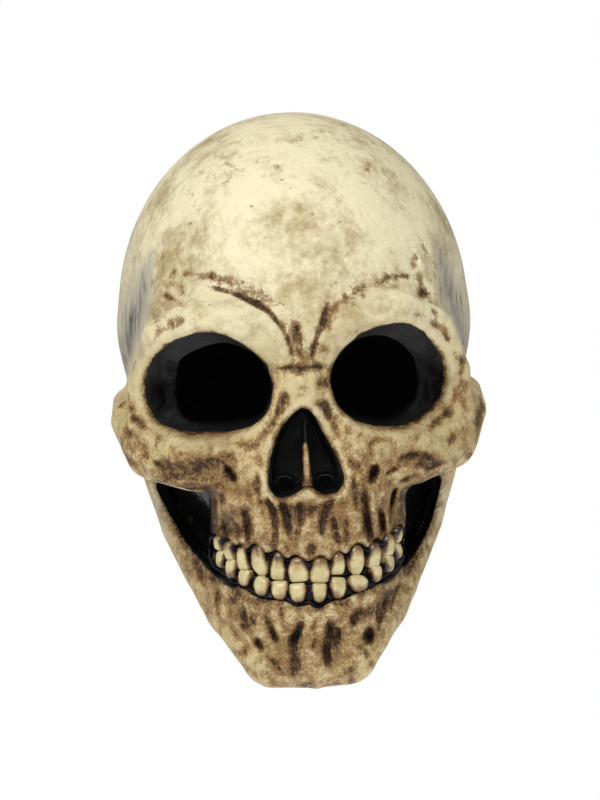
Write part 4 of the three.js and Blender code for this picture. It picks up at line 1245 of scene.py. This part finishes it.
# axis that the pad faces, centre and half sizes across it
PADS = {
    "forehead_pad": (1, (0, -60, 68), (40, 17)),
    "crown_pad": (2, (0, -24, 120), (34, 30)),
    "left_temple_pad": (0, (80, -18, 52), (20, 18)),
    "right_temple_pad": (0, (-80, -18, 52), (20, 18)),
    "rear_pad": (1, (0, 110, 60), (42, 24)),
}


def foam_finish():
    """Charcoal foam: open cells of two sizes, with paler walls between them."""
    finish = Finish("charcoal_foam", Roughness=0.95, Specular_IOR_Level=0.2)
    cells = finish.spots(900)
    pores = finish.spots(2100)
    cloud = finish.noise(60, 3)
    open_cell = (cells + pores * 0.6).ramp(0.25, 0.9)
    colour = finish.blend(open_cell, (0.018, 0.018, 0.02, 1), (0.085, 0.085, 0.09, 1))
    colour = finish.blend(cloud.ramp(0.45, 0.7) * 0.3, colour, (0.12, 0.115, 0.11, 1))
    low = finish.bump(cells, 0.0009, 0.8)
    return finish.cover(Base_Color=colour, Normal=finish.bump(pores, 0.0004, 0.6, low))


foam = foam_finish()
for name, (axis, centre, radii) in PADS.items():
    low, high = (np.array(corner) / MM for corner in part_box(name))
    lattice = Lattice(low - 3, high + 3, 1.0)
    at = lattice.at
    form = face_mass(at)
    across = [k for k in range(3) if k != axis]
    from_middle = np.sqrt(sum(((at[k] - centre[k]) / r) ** 2 for k, r in zip(across, radii)))
    rim = (from_middle - 0.985) * min(radii)
    crowned = PAD_THICK * (1 - 0.45 * np.clip(from_middle, 0, 1.1) ** 4)
    slab = np.maximum(form + WALL + PAD_CLEARANCE, -(form + WALL + PAD_CLEARANCE + crowned))
    pad = soft_cut(slab, -rim, 5)
    grain = blurred(chance.standard_normal(form.shape), 2)
    pad = np.maximum(pad + 0.22 * grain / grain.std(), form + WALL + 0.3)
    side = -1 if centre[axis] < 0 or (axis == 0 and centre[0] < 0) else 1
    pad = np.maximum(pad, 10 - side * at[axis])
    cushion = lattice.skin_over(name.replace("pad", "cushion"), pad, most=60000)
    cushion.data.materials.append(foam)
    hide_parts(name)
    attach(cushion, "head_shell")

# ------------------------------------------------------------------------------------------------
# The tapes: cotton tape soaked in latex. One runs over the joint between the face and the rear
# halves, from rim to rim, and a short patch backs the rear seam just above the slit.
# ------------------------------------------------------------------------------------------------
TAPE_HALF_WIDTH = 8.0
TAPE_THICK = 1.1
TAPE_DEPTH = WALL + 0.5
RAY_LENGTH = 240.0
RAY_HALVINGS = 28
PATCH = ((-15.5, 15.5), (16.5, 31.5))


def tape_finish():
    """A plain weave of grey-brown cotton with dried latex standing in it."""
    finish = Finish("latexed_cotton", Roughness=0.7, Specular_IOR_Level=0.35)
    place = finish.node("UVMap", {"uv_map": "weave"}).outputs[0]
    parts = finish.node("SeparateXYZ", inputs={"Vector": place}).outputs
    threads_apart = 0.0009
    run, over = (Value(finish, parts[k]).math("MULTIPLY", 2 * math.pi / threads_apart) for k in ("X", "Y"))
    warp, weft = run.math("SINE"), over.math("SINE")
    weave = (warp * weft) * 0.5 + 0.5
    cloud = finish.noise(140, 4, 0.6)
    colour = finish.blend(weave, (0.045, 0.040, 0.036, 1), (0.11, 0.10, 0.088, 1))
    colour = finish.blend(cloud.ramp(0.5, 0.75) * 0.8, colour, (0.20, 0.155, 0.09, 1))
    dried = cloud.ramp(0.45, 0.7)
    return finish.cover(Base_Color=colour, Coat_Weight=dried * 0.4,
                        Normal=finish.bump(weave * (1 - dried * 0.7), 0.0004, 0.7))


def depth_along(origin, heading, depth):
    """How far from each origin, along its heading, the clay form lies the given depth away."""
    near, far = np.zeros(origin.shape[:2]), np.full(origin.shape[:2], RAY_LENGTH)
    for _ in range(RAY_HALVINGS):
        middle = (near + far) / 2
        reached = origin + heading * middle[..., None]
        inside = face_mass(tuple(reached[..., k] for k in range(3))) + depth < 0
        near, far = np.where(inside, middle, near), np.where(inside, far, middle)
    return near


def tape(name, origin, heading, run):
    """A strip inside the skin, from a grid of rays; run is how far along and across each lies."""
    outer = origin + heading * depth_along(origin, heading, TAPE_DEPTH)[..., None]
    inner = origin + heading * depth_along(origin, heading, TAPE_DEPTH + TAPE_THICK)[..., None]
    rows, columns = outer.shape[:2]
    points = np.concatenate([outer.reshape(-1, 3), inner.reshape(-1, 3)]) * MM
    n = rows * columns
    faces = []
    for i in range(rows - 1):
        for j in range(columns - 1):
            a, d = i * columns + j, (i + 1) * columns + j
            b, c = a + 1, d + 1
            faces += [(a, b, c, d), (n + d, n + c, n + b, n + a)]
    border = list(range(columns)) + [i * columns + columns - 1 for i in range(1, rows)]
    border += [(rows - 1) * columns + j for j in range(columns - 2, -1, -1)]
    border += [i * columns for i in range(rows - 2, 0, -1)]
    faces += [(b, a, n + a, n + b) for a, b in zip(border, border[1:] + border[:1])]
    mesh = bpy.data.meshes.new(name)
    mesh.from_pydata([tuple(p) for p in points], [], faces)
    flat = np.concatenate([run.reshape(-1, 2)] * 2) * MM
    corners = np.empty(len(mesh.loops), np.int32)
    mesh.loops.foreach_get("vertex_index", corners)
    mesh.uv_layers.new(name="weave").data.foreach_set("uv", flat[corners].astype(np.float32).ravel())
    shell = bmesh.new()
    shell.from_mesh(mesh)
    bmesh.ops.recalc_face_normals(shell, faces=shell.faces)
    shell.to_mesh(mesh)
    shell.free()
    mesh.shade_smooth()
    strip = bpy.data.objects.new(name, mesh)
    scene.collection.objects.link(strip)
    strip.data.materials.append(cotton)
    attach(strip, "head_shell")
    return strip


cotton = tape_finish()
TAPE_MIDDLE_Z = 20.0  # height of the point that the tape bends round
TAPE_RADIUS = 90.0
TAPE_END = 2.59  # angle from the crown at which the tape stops, just above the rim
run, over = np.linspace(-TAPE_END, TAPE_END, 261), np.linspace(-TAPE_HALF_WIDTH, TAPE_HALF_WIDTH, 9)
angles, widths = np.meshgrid(run, over, indexing="ij")
flutter = 0.35 * np.sin(angles * 31) * np.abs(widths) / TAPE_HALF_WIDTH
middle = np.zeros_like(angles)
origin = np.stack([middle, PARTING_Y + widths + flutter, middle + TAPE_MIDDLE_Z], axis=-1)
heading = np.stack([np.sin(angles), middle, np.cos(angles)], axis=-1)
joint_tape = tape("joint_tape", origin, heading, np.stack([angles * TAPE_RADIUS, widths], axis=-1))
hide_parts("parting_tape")
wide, tall = np.meshgrid(np.linspace(*PATCH[0], 33), np.linspace(*PATCH[1], 17), indexing="ij")
origin = np.stack([wide, np.zeros_like(wide), tall + 0.3 * np.sin(wide * 1.3)], axis=-1)
heading = np.zeros_like(origin)
heading[..., 1] = 1
slit_backing = tape("slit_backing", origin, heading, np.stack([wide, tall], axis=-1))
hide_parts("slit_patch")
